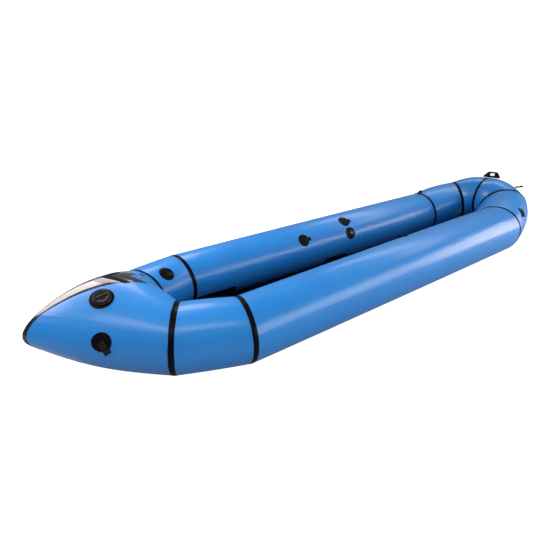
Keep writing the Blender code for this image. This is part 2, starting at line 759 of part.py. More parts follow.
def build_corner_tab(stations, hosts, webbing):
    """A stiff tab that stands off the stern's port corner, leaning outboard."""
    frame = turned_frame(section_frame(stations, 3, *CORNER_PLACE), 180)
    frame = seated(host_tree([hosts["stern_tube", "port"]]), frame)
    lean = Matrix.Rotation(-CORNER_LEAN, 4, "Y")
    matrix = frame_matrix(frame, 2 * GAP + CORNER_HALF + 0.003) @ lean
    roll = CORNER_LENGTH - CORNER_ROLL
    outline = arc((0, 0), CORNER_HALF, 90, 270, 4) + arc((roll, 0), CORNER_ROLL, -145, 145, 8)
    add_object("corner_tab", *prism(outline, -0.007, 0.007), webbing, matrix)


def ring_plate(outer, inner, low, high):
    """A plate with a hole, in local X and Z, thick along local Y. The two outlines have the same count."""
    count = len(outer)
    points = [(x, y, z) for y in (low, high) for outline in (outer, inner) for x, z in outline]
    faces = []
    for k in range(count):
        n = (k + 1) % count
        loops = [loop * count for loop in range(4)]
        for first, second in ((0, 1), (1, 3), (3, 2), (2, 0)):
            a, b = loops[first], loops[second]
            faces.append((a + k, a + n, b + n, b + k))
    return points, faces


def build_stern_handle(stations, webbing):
    """Carry handle that stands on the stern seam, just behind its crown, hinged along its foot."""
    centre = stations[4][0]
    out = unit(np.array([HANDLE_BACK, 0.0, math.sqrt(STERN_R**2 - HANDLE_BACK**2)]))
    frame = (centre + out * STERN_R, np.array([0.0, -1.0, 0.0]), out)
    points, faces = ring_plate(HANDLE_OUTER, HANDLE_INNER, -HANDLE_HALF, HANDLE_HALF)
    handle = add_object("stern_handle", points, faces, webbing, frame_matrix(frame, HANDLE_LIFT))
    bevel = handle.modifiers.new("soft_edges", "BEVEL")
    bevel.width = 0.003
    bevel.segments = 1
    bevel.limit_method = "ANGLE"


def build_bow_strap(stations, webbing):
    """Webbing laid across the ridge strip, from one side of it to the other."""
    x = ELBOW_X - 0.440
    part = (x - ELBOW_X - TIP[0]) / (CROTCH[0] - TIP[0])
    angle = math.acos(1 - 2 * part)
    spread = 0.0125 / (math.sin(angle) * (CROTCH[0] - TIP[0]) / 2)
    strap = centre_strip(
        stations,
        np.linspace(angle - spread, angle + spread, 3),
        lambda _: 0.066,
        STRIP_LIFT + TAPE + 0.0008,
        0.0018,
        6,
    )
    add_object("bow_strap", *strap, webbing)


def main():
    clear_scene()
    blue = make_material("tube_blue", (0.09, 0.32, 0.72), 0.35)
    black = make_material("tape_black", (0.01, 0.01, 0.012), 0.3)
    webbing = make_material("webbing_black", (0.015, 0.015, 0.016), 0.8)
    dark = make_material("valve_black", (0.02, 0.02, 0.022), 0.4)
    stations = hull_stations()
    hosts = build_hull(stations, blue, black)
    build_bow_trim(stations, black)
    build_bow_strap(stations, webbing)
    build_floor(stations, black)
    build_lash_points(stations, hosts, black, webbing)
    build_small_tabs(stations, hosts, black, webbing)
    build_corner_tab(stations, hosts, webbing)
    build_stern_handle(stations, webbing)
    build_mouth_valve(stations, hosts, black, dark)
    build_main_valve(stations, hosts, black, dark)


main()
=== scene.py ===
"""Looks of the tandem packraft: coated fabric skins, glossy seam tapes, webbing, valves, light and camera.

Metres, +Z up. +X runs from the bow to the stern, port is -Y.
"""

import json
import math

import bpy
import numpy as np
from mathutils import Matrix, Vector
from mathutils.bvhtree import BVHTree


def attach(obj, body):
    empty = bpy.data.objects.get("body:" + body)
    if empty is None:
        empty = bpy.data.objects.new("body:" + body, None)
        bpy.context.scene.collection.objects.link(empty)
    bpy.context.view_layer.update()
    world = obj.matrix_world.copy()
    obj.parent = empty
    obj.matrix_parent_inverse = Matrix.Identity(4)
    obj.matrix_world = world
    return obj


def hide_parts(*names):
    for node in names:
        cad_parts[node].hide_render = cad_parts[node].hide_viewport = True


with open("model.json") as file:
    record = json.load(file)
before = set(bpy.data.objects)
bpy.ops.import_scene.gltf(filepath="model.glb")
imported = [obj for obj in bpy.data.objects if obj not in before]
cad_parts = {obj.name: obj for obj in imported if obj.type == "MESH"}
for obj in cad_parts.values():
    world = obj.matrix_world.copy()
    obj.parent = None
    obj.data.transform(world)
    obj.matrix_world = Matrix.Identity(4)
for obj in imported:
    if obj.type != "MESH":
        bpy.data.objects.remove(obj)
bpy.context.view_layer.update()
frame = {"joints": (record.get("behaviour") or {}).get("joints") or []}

# Hull, as in the CAD
ELBOW_X = -1.1386
HALF_WIDTH = 0.332
ELBOW_R = 0.150
BOW_R = 0.152
REAR_R = 0.184
QUARTER_R = 0.1683
STERN_R = 0.1677
ELBOW_LENGTH = 0.278
ELBOW_TURN = math.radians(21.7)
ELBOW_RISE = math.radians(1.5)
BOW_TURN = math.radians(43.6)
BOW_RISE = math.radians(5.7)
SIDE_LENGTH = 2.368
QUARTER_LENGTH = 0.4106
QUARTER_TURN = math.radians(17.03)
QUARTER_LIFT = 0.0934
STERN_REACH = 0.4873
STERN_LIFT = 0.1661
SWELL = (0.0, 0.0, 0.0235, 0.0270)
SWELL_SIDE = tuple(math.radians(side) for side in (0, 0, 5, 45))
TIP = (-0.767, 0.236)
CROTCH = (-0.200, 0.173)
RIDGE_BOW = (0.128, 0.180, -0.069)
KEEL_BOW = (0.099, 0.159, -0.157)
RING_FLARE = 0.107
EDGE_ROUND = 0.283
RIDGE_ROUND = -0.093
STRIP_WIDTH = 0.058
STRIP_EDGE = 0.007
STRIP_START = 0.073
STRIP_FULL = 0.711
STRIP_END = 0.735
KEEL_TAPE_HALF = 0.012
FLOOR = 0.0010
FLOOR_CLEAR = 0.0022
LIFT = FLOOR + FLOOR_CLEAR

# Fabric and tape
FABRIC_WEAVE = 0.0012
FLOOR_WEAVE = 0.0018
SIDES = 144
SKIN = 0.0006
SEAM_GAP = 0.0004
TAPE = 0.0006
TAPE_LIFT = 0.0003
RING_TAPE_WIDTH = 0.024
PUCKER = 0.00022
PUCKER_REACH = 0.045
PINCH = 0.0012
PINCH_REACH = 0.030
BULGE = 0.0015
# Reach of the painted shade beside each seam; the bow's gathers also fade out over this distance.
SEAM_SHADE_REACH = 0.02
FOLD_SEED = 9
TAPE_RISE = (
    (-1.0, 0.35), (-0.93, 0.9), (-0.5, 1.0), (-0.08, 1.0), (0.08, 1.0), (0.5, 1.0), (0.93, 0.9), (1.0, 0.35),
)
STRIP_LIFT = 0.0008
STRIP_THICK = 0.0009

# Fittings. x is measured from the elbow seam, and an azimuth from the tube's outer side.
PROBE = 0.06
PATCH = 0.0009
PATCH_LIFT = 0.0004
TAB_THICK = 0.0030
WEBBING = 0.0013
STITCH_LENGTH = 0.0026
STITCH_RADIUS = 0.00035
LOOP_PLACE = (0.30, 47.0)
LOOP_TURN = -130
LOOP_LENGTH = 0.085
LOOP_WIDTH = 0.060
LEG_HALF = 0.0105
CORNER_PLACE = (0.20, 62.0)
CORNER_LEAN = math.radians(40)
CORNER_LENGTH = 0.064
CORNER_HALF = 0.0042
CORNER_ROLL = 0.0072
CORNER_WIDTH = 0.015
STRAP_X = -0.440
STRAP_HALF_WIDTH = 0.0125
STRAP_HALF_LENGTH = 0.066
STRAP_LIFT = 0.0024
STRAP_THICK = 0.0018
TAB_WIDTH = 0.025
SEAT_PATCHES = (("seat_patch_fore", 0.150, 0.26), ("seat_patch_aft", 1.130, 0.22))
SEAT_AZIMUTH = 218
SEAT_HALF = 0.0325
SEAT_CORNER = 0.02
FLOOR_TAB_PLACE = (1.871, 205)
FLOOR_TAB_TOP = 0.022
ANCHOR_PLACE = (-0.273, -0.075)
ANCHOR_R = 0.0150
TOP_TAB_FOOT = 0.0035
TOP_TAB_HEIGHT = 0.026
TOP_TAB_HALF = 0.0125
MAIN_VALVE_PLACE = (-0.488, -0.102)
MOUTH_VALVE_PLACE = (1.266, 156)
HANDLE_BACK = 0.060
HANDLE_HALF = 0.0055
HANDLE_OUTER = (
    (-0.076, 0.0), (-0.073, 0.010), (-0.058, 0.029), (-0.046, 0.045), (-0.036, 0.053), (0.036, 0.053),
    (0.046, 0.045), (0.058, 0.029), (0.073, 0.010), (0.076, 0.0), (0.024, 0.0), (-0.024, 0.0),
)
HANDLE_INNER = (
    (-0.014, 0.018), (-0.018, 0.021), (-0.019, 0.028), (-0.018, 0.036), (-0.014, 0.040), (0.014, 0.040),
    (0.018, 0.036), (0.019, 0.028), (0.018, 0.021), (0.014, 0.018), (0.006, 0.0175), (-0.006, 0.0175),
)

# Camera, fitted to the viewing angle
CAMERA_PLACE = (-1.8789, -1.5246, 1.0151)
CAMERA_PITCH = 0.40584
CAMERA_YAW = 0.65715
CAMERA_LENS = 24.24

# Studio: name, place, target, size, watts and tone of each softbox
WORLD_LIGHT = 0.29
FLOOR_GLOW = 1.0
SOFTBOXES = (
    ("bow_strip", (-2.3, -1.45, 2.6), (-1.5, -0.3, 0.2), (2.6, 0.6), 30.0, (1.0, 0.95, 0.95)),
    ("ridge_strip", (-3.0, 1.05, 2.6), (-2.5, -0.4, 0.3), (3.0, 0.8), 95.0, (1.0, 0.90, 0.90)),
    ("bow_box", (-0.8, 1.9, 2.6), (-1.3, 0.0, 0.3), (1.6, 1.3), 42.0, (1.0, 0.88, 0.88)),
    ("roof_strip", (3.0, 0.4, 2.7), (1.2, 0.0, 0.2), (4.0, 0.6), 30.0, (1.0, 0.96, 0.96)),
    ("stern_box", (4.1, -2.4, 1.05), (0.8, -0.4, 0.2), (1.9, 1.6), 60.0, (1.0, 0.86, 0.84)),
    ("port_fill", (1.9, -4.2, 1.4), (0.6, -0.4, 0.1), (3.8, 1.8), 120.0, (0.95, 0.99, 1.0)),
)

UP = np.array([0.0, 0.0, 1.0])
MIRROR = np.array([1.0, -1.0, 1.0])
SIDES_OF_BOAT = (("port", 1.0), ("starboard", -1.0))
JOINT_OF = {joint["child"]: joint for joint in frame["joints"]}


def unit(v):
    v = np.asarray(v, float)
    return v / np.linalg.norm(v)


def rows_unit(v):
    return v / np.maximum(np.linalg.norm(v, axis=-1, keepdims=True), 1e-12)


# Materials


class Graph:
    """A node material under construction."""

    def __init__(self, name):
        self.material = bpy.data.materials.new(name)
        self.material.use_nodes = True
        self.tree = self.material.node_tree
        self.shader = self.tree.nodes["Principled BSDF"]

    def node(self, kind, inputs=None, **settings):
        made = self.tree.nodes.new(kind)
        for key, value in settings.items():
            setattr(made, key, value)
        for key, value in (inputs or {}).items():
            self.set(made.inputs[key], value)
        return made

    def set(self, socket, value):
        if isinstance(value, bpy.types.NodeSocket):
            self.tree.links.new(value, socket)
        else:
            socket.default_value = value

    def math(self, operation, a, b=0.0):
        return self.node("ShaderNodeMath", {0: a, 1: b}, operation=operation).outputs[0]

    def uv(self, scale=(1.0, 1.0, 1.0)):
        where = self.node("ShaderNodeTexCoord").outputs["UV"]
        return self.node("ShaderNodeMapping", {"Vector": where, "Scale": scale}).outputs[0]

    def place(self, scale=(1.0, 1.0, 1.0)):
        where = self.node("ShaderNodeTexCoord").outputs["Object"]
        return self.node("ShaderNodeMapping", {"Vector": where, "Scale": scale}).outputs[0]

    def noise(self, vector, scale, detail=3.0, roughness=0.5):
        inputs = {"Vector": vector, "Scale": scale, "Detail": detail, "Roughness": roughness}
        return self.node("ShaderNodeTexNoise", inputs).outputs[0]

    def ramp(self, value, low, high, start, end):
        inputs = {"Value": value, "From Min": low, "From Max": high, "To Min": start, "To Max": end}
        return self.node("ShaderNodeMapRange", inputs).outputs[0]

    def mix(self, factor, a, b):
        made = self.node("ShaderNodeMix", data_type="RGBA")
        self.set(made.inputs[0], factor)
        self.set(made.inputs[6], a)
        self.set(made.inputs[7], b)
        return made.outputs[2]

    def blend(self, value, low, high, a, b, most=1.0):
        """Colour a, going to b as the value goes from low to high."""
        return self.mix(self.ramp(value, low, high, 0.0, most), a, b)

    def bump(self, height, distance, strength=1.0, normal=None):
        inputs = {"Height": height, "Distance": distance, "Strength": strength}
        if normal is not None:
            inputs["Normal"] = normal
        return self.node("ShaderNodeBump", inputs).outputs[0]

    def attribute(self, name):
        return self.node("ShaderNodeAttribute", attribute_name=name).outputs["Fac"]

    def sine(self, value, period):
        return self.math("SINE", self.math("MULTIPLY", value, 2 * math.pi / period))

    def shade(self, **inputs):
        for key, value in inputs.items():
            self.set(self.shader.inputs[key.replace("_", " ")], value)


def weave_height(graph, period):
    """Plain weave: threads over and under, from UVs in metres."""
    split = graph.node("ShaderNodeSeparateXYZ", {"Vector": graph.uv()})
    across = graph.sine(split.outputs[0], period)
    along = graph.sine(split.outputs[1], period)
    return graph.math("MULTIPLY", across, along)


def coated_fabric():
    """Blue TPU-coated nylon, pulled tight by the air inside: satin, a faint weave, scuffs low down, and
    painted shade beside the seams.
    """
    graph = Graph("tube_fabric")
    blotch = graph.noise(graph.place(), 5.0, 3.0)
    fleck = graph.noise(graph.uv(), 260.0, 2.0)
    tone = graph.blend(blotch, 0.3, 0.7, (0.011, 0.190, 0.550, 1), (0.014, 0.208, 0.590, 1))
    tone = graph.blend(fleck, 0.35, 0.75, tone, (0.040, 0.255, 0.640, 1), 0.10)
    # Darker blue near the seams: painted shade where the fabric is pinched in under the tape.
    seam = graph.attribute("seam")
    tone = graph.mix(graph.math("MULTIPLY", seam, 0.35), tone, (0.008, 0.120, 0.390, 1))
    height = graph.node("ShaderNodeSeparateXYZ", {"Vector": graph.place()}).outputs[2]
    low = graph.ramp(height, 0.0, 0.09, 1.0, 0.0)
    scuff = graph.noise(graph.place((1.0, 4.0, 4.0)), 24.0, 6.0, 0.7)
    scuff = graph.math("MULTIPLY", low, graph.ramp(scuff, 0.52, 0.72, 0.0, 0.45))
    tone = graph.mix(scuff, tone, (0.09, 0.25, 0.48, 1))
    tension = graph.noise(graph.uv((1.5, 9.0, 1.0)), 3.0, 3.0, 0.55)
    crinkle = graph.noise(graph.uv(), 55.0, 3.0, 0.5)
    normal = graph.bump(tension, 0.0035, 0.6)
    normal = graph.bump(crinkle, 0.00035, 0.6, normal)
    normal = graph.bump(weave_height(graph, FABRIC_WEAVE), 0.00002, 0.5, normal)
    rough = graph.math("ADD", graph.ramp(blotch, 0.3, 0.7, 0.33, 0.40), graph.math("MULTIPLY", scuff, 0.5))
    graph.shade(Base_Color=tone, Roughness=rough, IOR=1.5, Specular_IOR_Level=0.30, Normal=normal)
    graph.shade(Coat_Weight=0.30, Coat_Roughness=0.17, Coat_Normal=graph.bump(tension, 0.002, 0.5))
    return graph.material


def glossy_tape(name="seam_tape", tone=(0.0022, 0.0018, 0.0028), roughness=0.36, shine=0.05, coat=0.012):
    """Black TPU tape, heat pressed on: glossy, a little orange peel, the fabric's grain showing through."""
    graph = Graph(name)
    cloud = graph.noise(graph.place(), 30.0, 4.0)
    base = graph.blend(cloud, 0.4, 0.75, (*tone, 1), (*(2.4 * c for c in tone), 1), 0.5)
    peel = graph.noise(graph.uv(), 150.0, 2.0)
    ripple = graph.noise(graph.uv(), 28.0, 2.0)
    normal = graph.bump(ripple, 0.0006, 0.6)
    normal = graph.bump(peel, 0.00008, 0.6, normal)
    normal = graph.bump(weave_height(graph, FABRIC_WEAVE), 0.000015, 0.5, normal)
    graph.shade(Base_Color=base, Roughness=graph.ramp(cloud, 0.3, 0.7, roughness - 0.05, roughness + 0.06))
    graph.shade(Normal=normal, Specular_IOR_Level=shine, Coat_Weight=coat, Coat_Roughness=0.08)
    return graph.material


def floor_cloth():
    """Heavier black coated floor fabric, with a coarse weave."""
    graph = Graph("floor_fabric")
    cloud = graph.noise(graph.place(), 9.0, 5.0)
    base = graph.blend(cloud, 0.35, 0.75, (0.010, 0.010, 0.012, 1), (0.022, 0.022, 0.024, 1))
    fold = graph.noise(graph.place((1.0, 2.0, 1.0)), 14.0, 4.0)
    normal = graph.bump(fold, 0.004, 0.5)
    normal = graph.bump(weave_height(graph, FLOOR_WEAVE), 0.00012, 0.8, normal)
    graph.shade(Base_Color=base, Roughness=graph.ramp(cloud, 0.3, 0.7, 0.42, 0.6), Normal=normal)
    return graph.material


def woven_webbing():
    """Polyester webbing: a herringbone of yarns, with rounded ribs along the strap."""
    graph = Graph("webbing")
    split = graph.node("ShaderNodeSeparateXYZ", {"Vector": graph.uv()})
    u, v = split.outputs[0], split.outputs[1]
    zigzag = graph.math("PINGPONG", v, 0.0030)
    twill = graph.sine(graph.math("ADD", u, zigzag), 0.0019)
    rib = graph.sine(v, 0.0010)
    height = graph.math("ADD", graph.math("MULTIPLY", twill, 0.6), graph.math("MULTIPLY", rib, 0.35))
    fuzz = graph.noise(graph.uv(), 900.0, 2.0)
    # Darker where the weave sits low, lighter on the raised yarns and the fuzz.
    relief_and_fuzz = graph.math("ADD", height, graph.math("MULTIPLY", fuzz, 0.6))
    base = graph.blend(relief_and_fuzz, -0.8, 1.2, (0.002, 0.002, 0.0025, 1), (0.010, 0.0095, 0.011, 1))
    graph.shade(Base_Color=base, Roughness=0.78, Normal=graph.bump(height, 0.00022, 0.9))
    graph.shade(Sheen_Weight=0.02, Sheen_Roughness=0.5, Specular_IOR_Level=0.10)
    return graph.material


def moulded_plastic():
    """Black moulded valve plastic with a fine spark texture and softer worn patches."""
    graph = Graph("valve_plastic")
    cloud = graph.noise(graph.place(), 70.0, 4.0)
    grain = graph.noise(graph.place(), 1400.0, 2.0)
    base = graph.blend(cloud, 0.4, 0.8, (0.006, 0.005, 0.005, 1), (0.018, 0.012, 0.012, 1))
    graph.shade(Base_Color=base, Roughness=graph.ramp(cloud, 0.3, 0.7, 0.18, 0.30))
    graph.shade(Normal=graph.bump(grain, 0.00005, 0.5), Specular_IOR_Level=0.28, Coat_Weight=0.06)
    return graph.material


def sewing_thread():
    """Twisted black thread, greyer than the webbing it holds."""
    graph = Graph("thread")
    twist = graph.noise(graph.place(), 2500.0, 2.0)
    base = graph.blend(twist, 0.3, 0.7, (0.020, 0.018, 0.020, 1), (0.075, 0.070, 0.075, 1))
    graph.shade(Base_Color=base, Roughness=0.55, Normal=graph.bump(twist, 0.0001, 0.6))
    return graph.material


BLUE = coated_fabric()
TAPE_BLACK = glossy_tape()
PATCH_BLACK = glossy_tape("patch_tpu", (0.0024, 0.0020, 0.0026), 0.44, 0.06, 0.01)
STRIP_BLACK = glossy_tape("ridge_tpu", (0.004, 0.003, 0.0035), 0.17, 0.45, 0.50)
FLOOR_BLACK = floor_cloth()
WEBBING_BLACK = woven_webbing()
PLASTIC = moulded_plastic()
THREAD = sewing_thread()


# Meshes


def make_mesh(name, points, faces, corner_uv, material, body, replaces=(), slot=None, seam=None, sharp=50.0):
    """A closed smooth mesh that rides on a body. Its faces are turned out as a whole, with their UVs."""
    points = np.asarray(points, float)
    volume = 0.0
    for face in faces:
        a = points[face[0]]
        for b, c in zip(face[1:-1], face[2:]):
            volume += float(a @ np.cross(points[b], points[c]))
    if volume < 0:
        faces = [tuple(reversed(face)) for face in faces]
        corner_uv = [tuple(reversed(corners)) for corners in corner_uv]
    mesh = bpy.data.meshes.new(name)
    mesh.from_pydata(points.tolist(), [], faces)
    layer = mesh.uv_layers.new(name="metres")
    flat = np.array([value for corners in corner_uv for corner in corners for value in corner], np.float32)
    layer.data.foreach_set("uv", flat)
    # The seam attribute darkens the blue fabric near its seams, as painted shade.
    if seam is not None:
        attribute = mesh.attributes.new("seam", "FLOAT", "POINT")
        attribute.data.foreach_set("value", np.asarray(seam, np.float32))
    mesh.shade_smooth()
    mesh.set_sharp_from_angle(angle=math.radians(sharp))
    mesh.materials.append(material)
    obj = bpy.data.objects.new(name, mesh)
    bpy.context.scene.collection.objects.link(obj)
    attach(obj, body)
    if replaces:
        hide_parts(*replaces)
    return obj


def grid_solid(outer, inner, uv, wrap):
    """Faces and corner UVs of the closed body between two grids. wrap joins the last column to the first."""
    rows, columns = outer.shape[:2]
    count = rows * columns
    faces, corners = [], []
    spans = columns if wrap else columns - 1

    def point(i, j):
        return i * columns + j % columns

    for i in range(rows - 1):
        for j in range(spans):
            cell = ((i, j), (i, j + 1), (i + 1, j + 1), (i + 1, j))
            face = tuple(point(*c) for c in cell)
            mapped = tuple(tuple(uv[c]) for c in cell)
            faces += [face, tuple(count + k for k in reversed(face))]
            corners += [mapped, tuple(reversed(mapped))]
    rims = [((0, j + 1), (0, j)) for j in range(spans)]
    rims += [((rows - 1, j), (rows - 1, j + 1)) for j in range(spans)]
    if not wrap:
        rims += [((i, 0), (i + 1, 0)) for i in range(rows - 1)]
        rims += [((i + 1, columns - 1), (i, columns - 1)) for i in range(rows - 1)]
    for a, b in rims:
        faces.append((point(*a), point(*b), count + point(*b), count + point(*a)))
        corners.append((tuple(uv[a]), tuple(uv[b]), tuple(uv[b]), tuple(uv[a])))
    return np.concatenate([outer.reshape(-1, 3), inner.reshape(-1, 3)]), faces, corners


def metre_uv(grid, wrap):
    """UVs in metres for a grid, with one more column where it wraps."""
    closed = np.concatenate([grid, grid[:, :1]], axis=1) if wrap else grid
    around = np.linalg.norm(np.diff(closed, axis=1), axis=2).mean(axis=0)
    along = np.linalg.norm(np.diff(grid, axis=0), axis=2).mean(axis=1)
    u = np.concatenate([[0.0], np.cumsum(along)])
    v = np.concatenate([[0.0], np.cumsum(around)])
    return np.stack(np.meshgrid(u, v, indexing="ij"), axis=-1)


def grid_piece(name, outer, inner, wrap, material, body, sign=1.0, seam=None, **kept):
    """The closed body between two grids, on port, or mirrored to starboard where sign is negative."""
    uv = metre_uv(outer, wrap)
    points, faces, corners = grid_solid(outer, inner, uv, wrap)
    if sign < 0:
        points = points * MIRROR
    shade = None if seam is None else np.tile(np.asarray(seam).reshape(-1), 2)
    return make_mesh(name, points, faces, corners, material, body, seam=shade, **kept)


# Hull rings


def ring_frame(before, after):
    """Outboard and upward directions of the mitre between two axes, and how far it stretches outboard."""
    normal = unit(unit(before) + unit(after))
    outboard = unit(np.cross(UP, normal))
    outboard = outboard if outboard[1] < 0 or abs(outboard[1]) < 1e-9 else -outboard
    upward = np.cross(normal, outboard)
    upward = upward if upward[2] > 0 else -upward
    return outboard, upward, 1.0 / float(unit(before) @ normal)


def ring(centre, radius, before, after, outboard_hint):
    """Points and normals of a mitre seam."""
    outboard, upward, stretch = ring_frame(before, after)
    if outboard @ outboard_hint < 0:
        outboard = -outboard
    angle = np.linspace(0, 2 * math.pi, SIDES, endpoint=False)[:, None]
    points = centre + radius * (np.cos(angle) * outboard * stretch + np.sin(angle) * upward)
    normals = np.cos(angle) * outboard + np.sin(angle) * upward
    return points, normals


def forward(turn, rise):
    """Direction towards the bow, turned inboard from -X and raised, on the port side."""
    return np.array([-math.cos(turn) * math.cos(rise), math.sin(turn) * math.cos(rise), math.sin(rise)])


def hull_stations():
    """Tube centres and rings of the port half, from the bow seam to the stern's centre seam."""
    elbow = np.array([ELBOW_X, -HALF_WIDTH, ELBOW_R + LIFT])
    bow = elbow + forward(ELBOW_TURN, ELBOW_RISE) * ELBOW_LENGTH
    rear = np.array([ELBOW_X + SIDE_LENGTH, -HALF_WIDTH, REAR_R + LIFT])
    quarter = rear + np.array(
        [QUARTER_LENGTH * math.cos(QUARTER_TURN), QUARTER_LENGTH * math.sin(QUARTER_TURN), QUARTER_LIFT]
    )
    stern = np.array([rear[0] + STERN_REACH, 0.0, STERN_R + STERN_LIFT + LIFT])
    centres = [bow, elbow, rear, quarter, stern]
    ways = [unit(b - a) for a, b in zip(centres[:-1], centres[1:])]
    ways = [-forward(BOW_TURN, BOW_RISE), *ways, unit(ways[-1] * np.array([-1.0, 1.0, -1.0]))]
    radii = [BOW_R, ELBOW_R, REAR_R, QUARTER_R, STERN_R]
    hints = [-np.array([0, 1.0, 0])] * 3 + [np.array([1.0, -1.0, 0]), np.array([1.0, 0, 0])]
    return [
        (centre, *ring(centre, radius, ways[i], ways[i + 1], hints[i]))
        for i, (centre, radius) in enumerate(zip(centres, radii))
    ]


STATIONS = hull_stations()
ANGLES = np.linspace(0, 2 * math.pi, SIDES, endpoint=False)


def pucker(seam, angle, distance):
    """Offset of the fabric near a seam: drawn in under the tape, with short gathers that die out."""
    rng = np.random.default_rng(40 + seam)
    gathers = sum(
        rng.uniform(0.5, 1.0) * np.sin(n * angle + rng.uniform(0, 2 * math.pi)) for n in (7, 12, 19, 29)
    )
    return PUCKER * gathers * np.exp(-distance / PUCKER_REACH) - PINCH * np.exp(-distance / PINCH_REACH)


def swell(index, share, azimuth):
    """How far a section's surface stands off the straight lines between its rings."""
    return SWELL[index] * math.sin(math.pi * share) * ((1 + np.cos(azimuth - SWELL_SIDE[index])) / 2) ** 2


def beside_ring(index, share):
    """A section's surface a little way along it, to lead a tape from its seam."""
    (_, a, normal_a), (_, b, normal_b) = STATIONS[index], STATIONS[index + 1]
    normal = rows_unit(normal_a * (1 - share) + normal_b * share)
    return a * (1 - share) + b * share + normal * swell(index, share, ANGLES)[:, None]


def tube_grid(index, rows):
    """Outer surface of a port tube section, its normals, and how near each point is to a seam."""
    (_, a, normal_a), (_, b, normal_b) = STATIONS[index], STATIONS[index + 1]
    line = b - a
    length = np.linalg.norm(line, axis=1)
    even = np.linspace(0, 1, rows)
    share = (0.5 - 0.5 * np.cos(math.pi * even)) * 0.7 + even * 0.3
    end_gap = SEAM_GAP / 2 / length.mean()
    outer, normals, seam = [], [], []
    for s in share:
        s = min(max(s, end_gap), 1 - end_gap)
        normal = rows_unit(normal_a * (1 - s) + normal_b * s)
        offset = pucker(index, ANGLES, s * length) + pucker(index + 1, ANGLES, (1 - s) * length)
        offset = offset + BULGE * math.sin(math.pi * s) + swell(index, s, ANGLES)
        outer.append(a + line * s + normal * offset[:, None])
        normals.append(normal)
        # Closeness to a seam, which drives the painted shade in the fabric's colour.
        seam.append(np.exp(-np.minimum(s, 1 - s) * length / SEAM_SHADE_REACH))
    return np.array(outer), np.array(normals), np.array(seam)


def centre_plane_edge(angle):
    """The bow's outline in the centre-plane: 0 at the tip, pi at the crotch, the ridge between them."""
    angle = np.asarray(angle, float)
    part = (1 - np.cos(angle)) / 2
    depth = np.abs(np.sin(angle))
    x = ELBOW_X + TIP[0] + (CROTCH[0] - TIP[0]) * part
    chord = TIP[1] + (CROTCH[1] - TIP[1]) * part + LIFT
    ridge = chord + depth * (RIDGE_BOW[0] + RIDGE_BOW[1] * part + RIDGE_BOW[2] * part**2)
    keel = chord - depth * (KEEL_BOW[0] + KEEL_BOW[1] * part + KEEL_BOW[2] * part**2)
    return np.stack([x, np.zeros_like(x), np.where(np.sin(angle) >= 0, ridge, keel)], axis=-1)


def bow_surface(angle, share):
    """Points of the port bow half: share 0 on the bow seam's ring, 1 on the centre-plane edge."""
    centre, seam, normals = STATIONS[0]
    angle = np.asarray(angle, float)[:, None]
    outboard, upward = normals[0], normals[SIDES // 4]
    stretch = np.linalg.norm(seam[0] - centre) / BOW_R
    start = centre + BOW_R * (np.cos(angle) * outboard * stretch + np.sin(angle) * upward)
    radial = np.cos(angle) * outboard + np.sin(angle) * upward
    end = centre_plane_edge(angle[:, 0])
    middle = np.array([ELBOW_X + (TIP[0] + CROTCH[0]) / 2, 0.0, (TIP[1] + CROTCH[1]) / 2 + LIFT])
    chord = end - start
    length = np.linalg.norm(chord, axis=1, keepdims=True)
    chord = chord / length
    outward = rows_unit(end - middle)
    leave = rows_unit(chord + RING_FLARE * radial) * length
    arrive = rows_unit(chord - (EDGE_ROUND + RIDGE_ROUND * np.maximum(np.sin(angle), 0)) * outward) * length
    u = np.asarray(share, float)[:, None, None]
    return (
        (2 * u**3 - 3 * u**2 + 1) * start
        + (u**3 - 2 * u**2 + u) * leave
        + (3 * u**2 - 2 * u**3) * end
        + (u**3 - u**2) * arrive
    )


def surface_normals(angle, share):
    """Outward normals of the bow half at matching lists of angle and share."""
    step = 1e-3
    angle, share = np.asarray(angle, float), np.asarray(share, float)
    out = []
    for t, s in zip(angle, share):
        low, high = max(s - step, 0.0), min(s + step, 1.0)
        corner = bow_surface([t - step, t + step, t], [s, low, high])
        normal = unit(np.cross(corner[0, 1] - corner[0, 0], corner[2, 2] - corner[1, 2]))
        radial = corner[0, 2] - np.array([ELBOW_X + 0.55 * TIP[0], -0.10, 0.19])
        out.append(normal if normal @ radial > 0 else -normal)
    return np.array(out)


def bow_grid(rows):
    """Outer surface of the port bow panel, its normals, and how near each point is to a seam."""
    share = np.linspace(0.0, 1.0, rows)
    outer = bow_surface(ANGLES, share)
    along = np.gradient(outer, axis=0)
    around = np.roll(outer, -1, axis=1) - np.roll(outer, 1, axis=1)
    normals = rows_unit(np.cross(around, along))
    middle = outer.mean(axis=1, keepdims=True)
    normals *= np.sign(((outer - middle) * normals).sum(axis=(1, 2), keepdims=True))
    steps = np.linalg.norm(np.diff(outer, axis=0), axis=2)
    length = np.concatenate([np.zeros((1, SIDES)), np.cumsum(steps, axis=0)])
    left = length[-1] - length
    fade = np.minimum(1.0, left / SEAM_SHADE_REACH)
    gathers = pucker(FOLD_SEED, ANGLES, left) + PINCH * np.exp(-left / PINCH_REACH)
    offset = pucker(0, ANGLES, length) + 0.7 * gathers * fade
    outer = outer + normals * offset[:, :, None]
    outer[0] += rows_unit(outer[1] - outer[0]) * SEAM_GAP / 2
    outer[-1, :, 1] = -SEAM_GAP / 2
    normals[-1, :, 1] = 0.0
    normals[-1] = rows_unit(normals[-1])
    # Closeness to a seam, which drives the painted shade in the fabric's colour.
    seam = np.exp(-np.minimum(length, left) / SEAM_SHADE_REACH)
    return outer, normals, seam


def tree_of(obj):
    """A piece's own surface, to lay a fitting on."""
    points = [v.co.copy() for v in obj.data.vertices]
    return BVHTree.FromPolygons(points, [tuple(p.vertices) for p in obj.data.polygons])


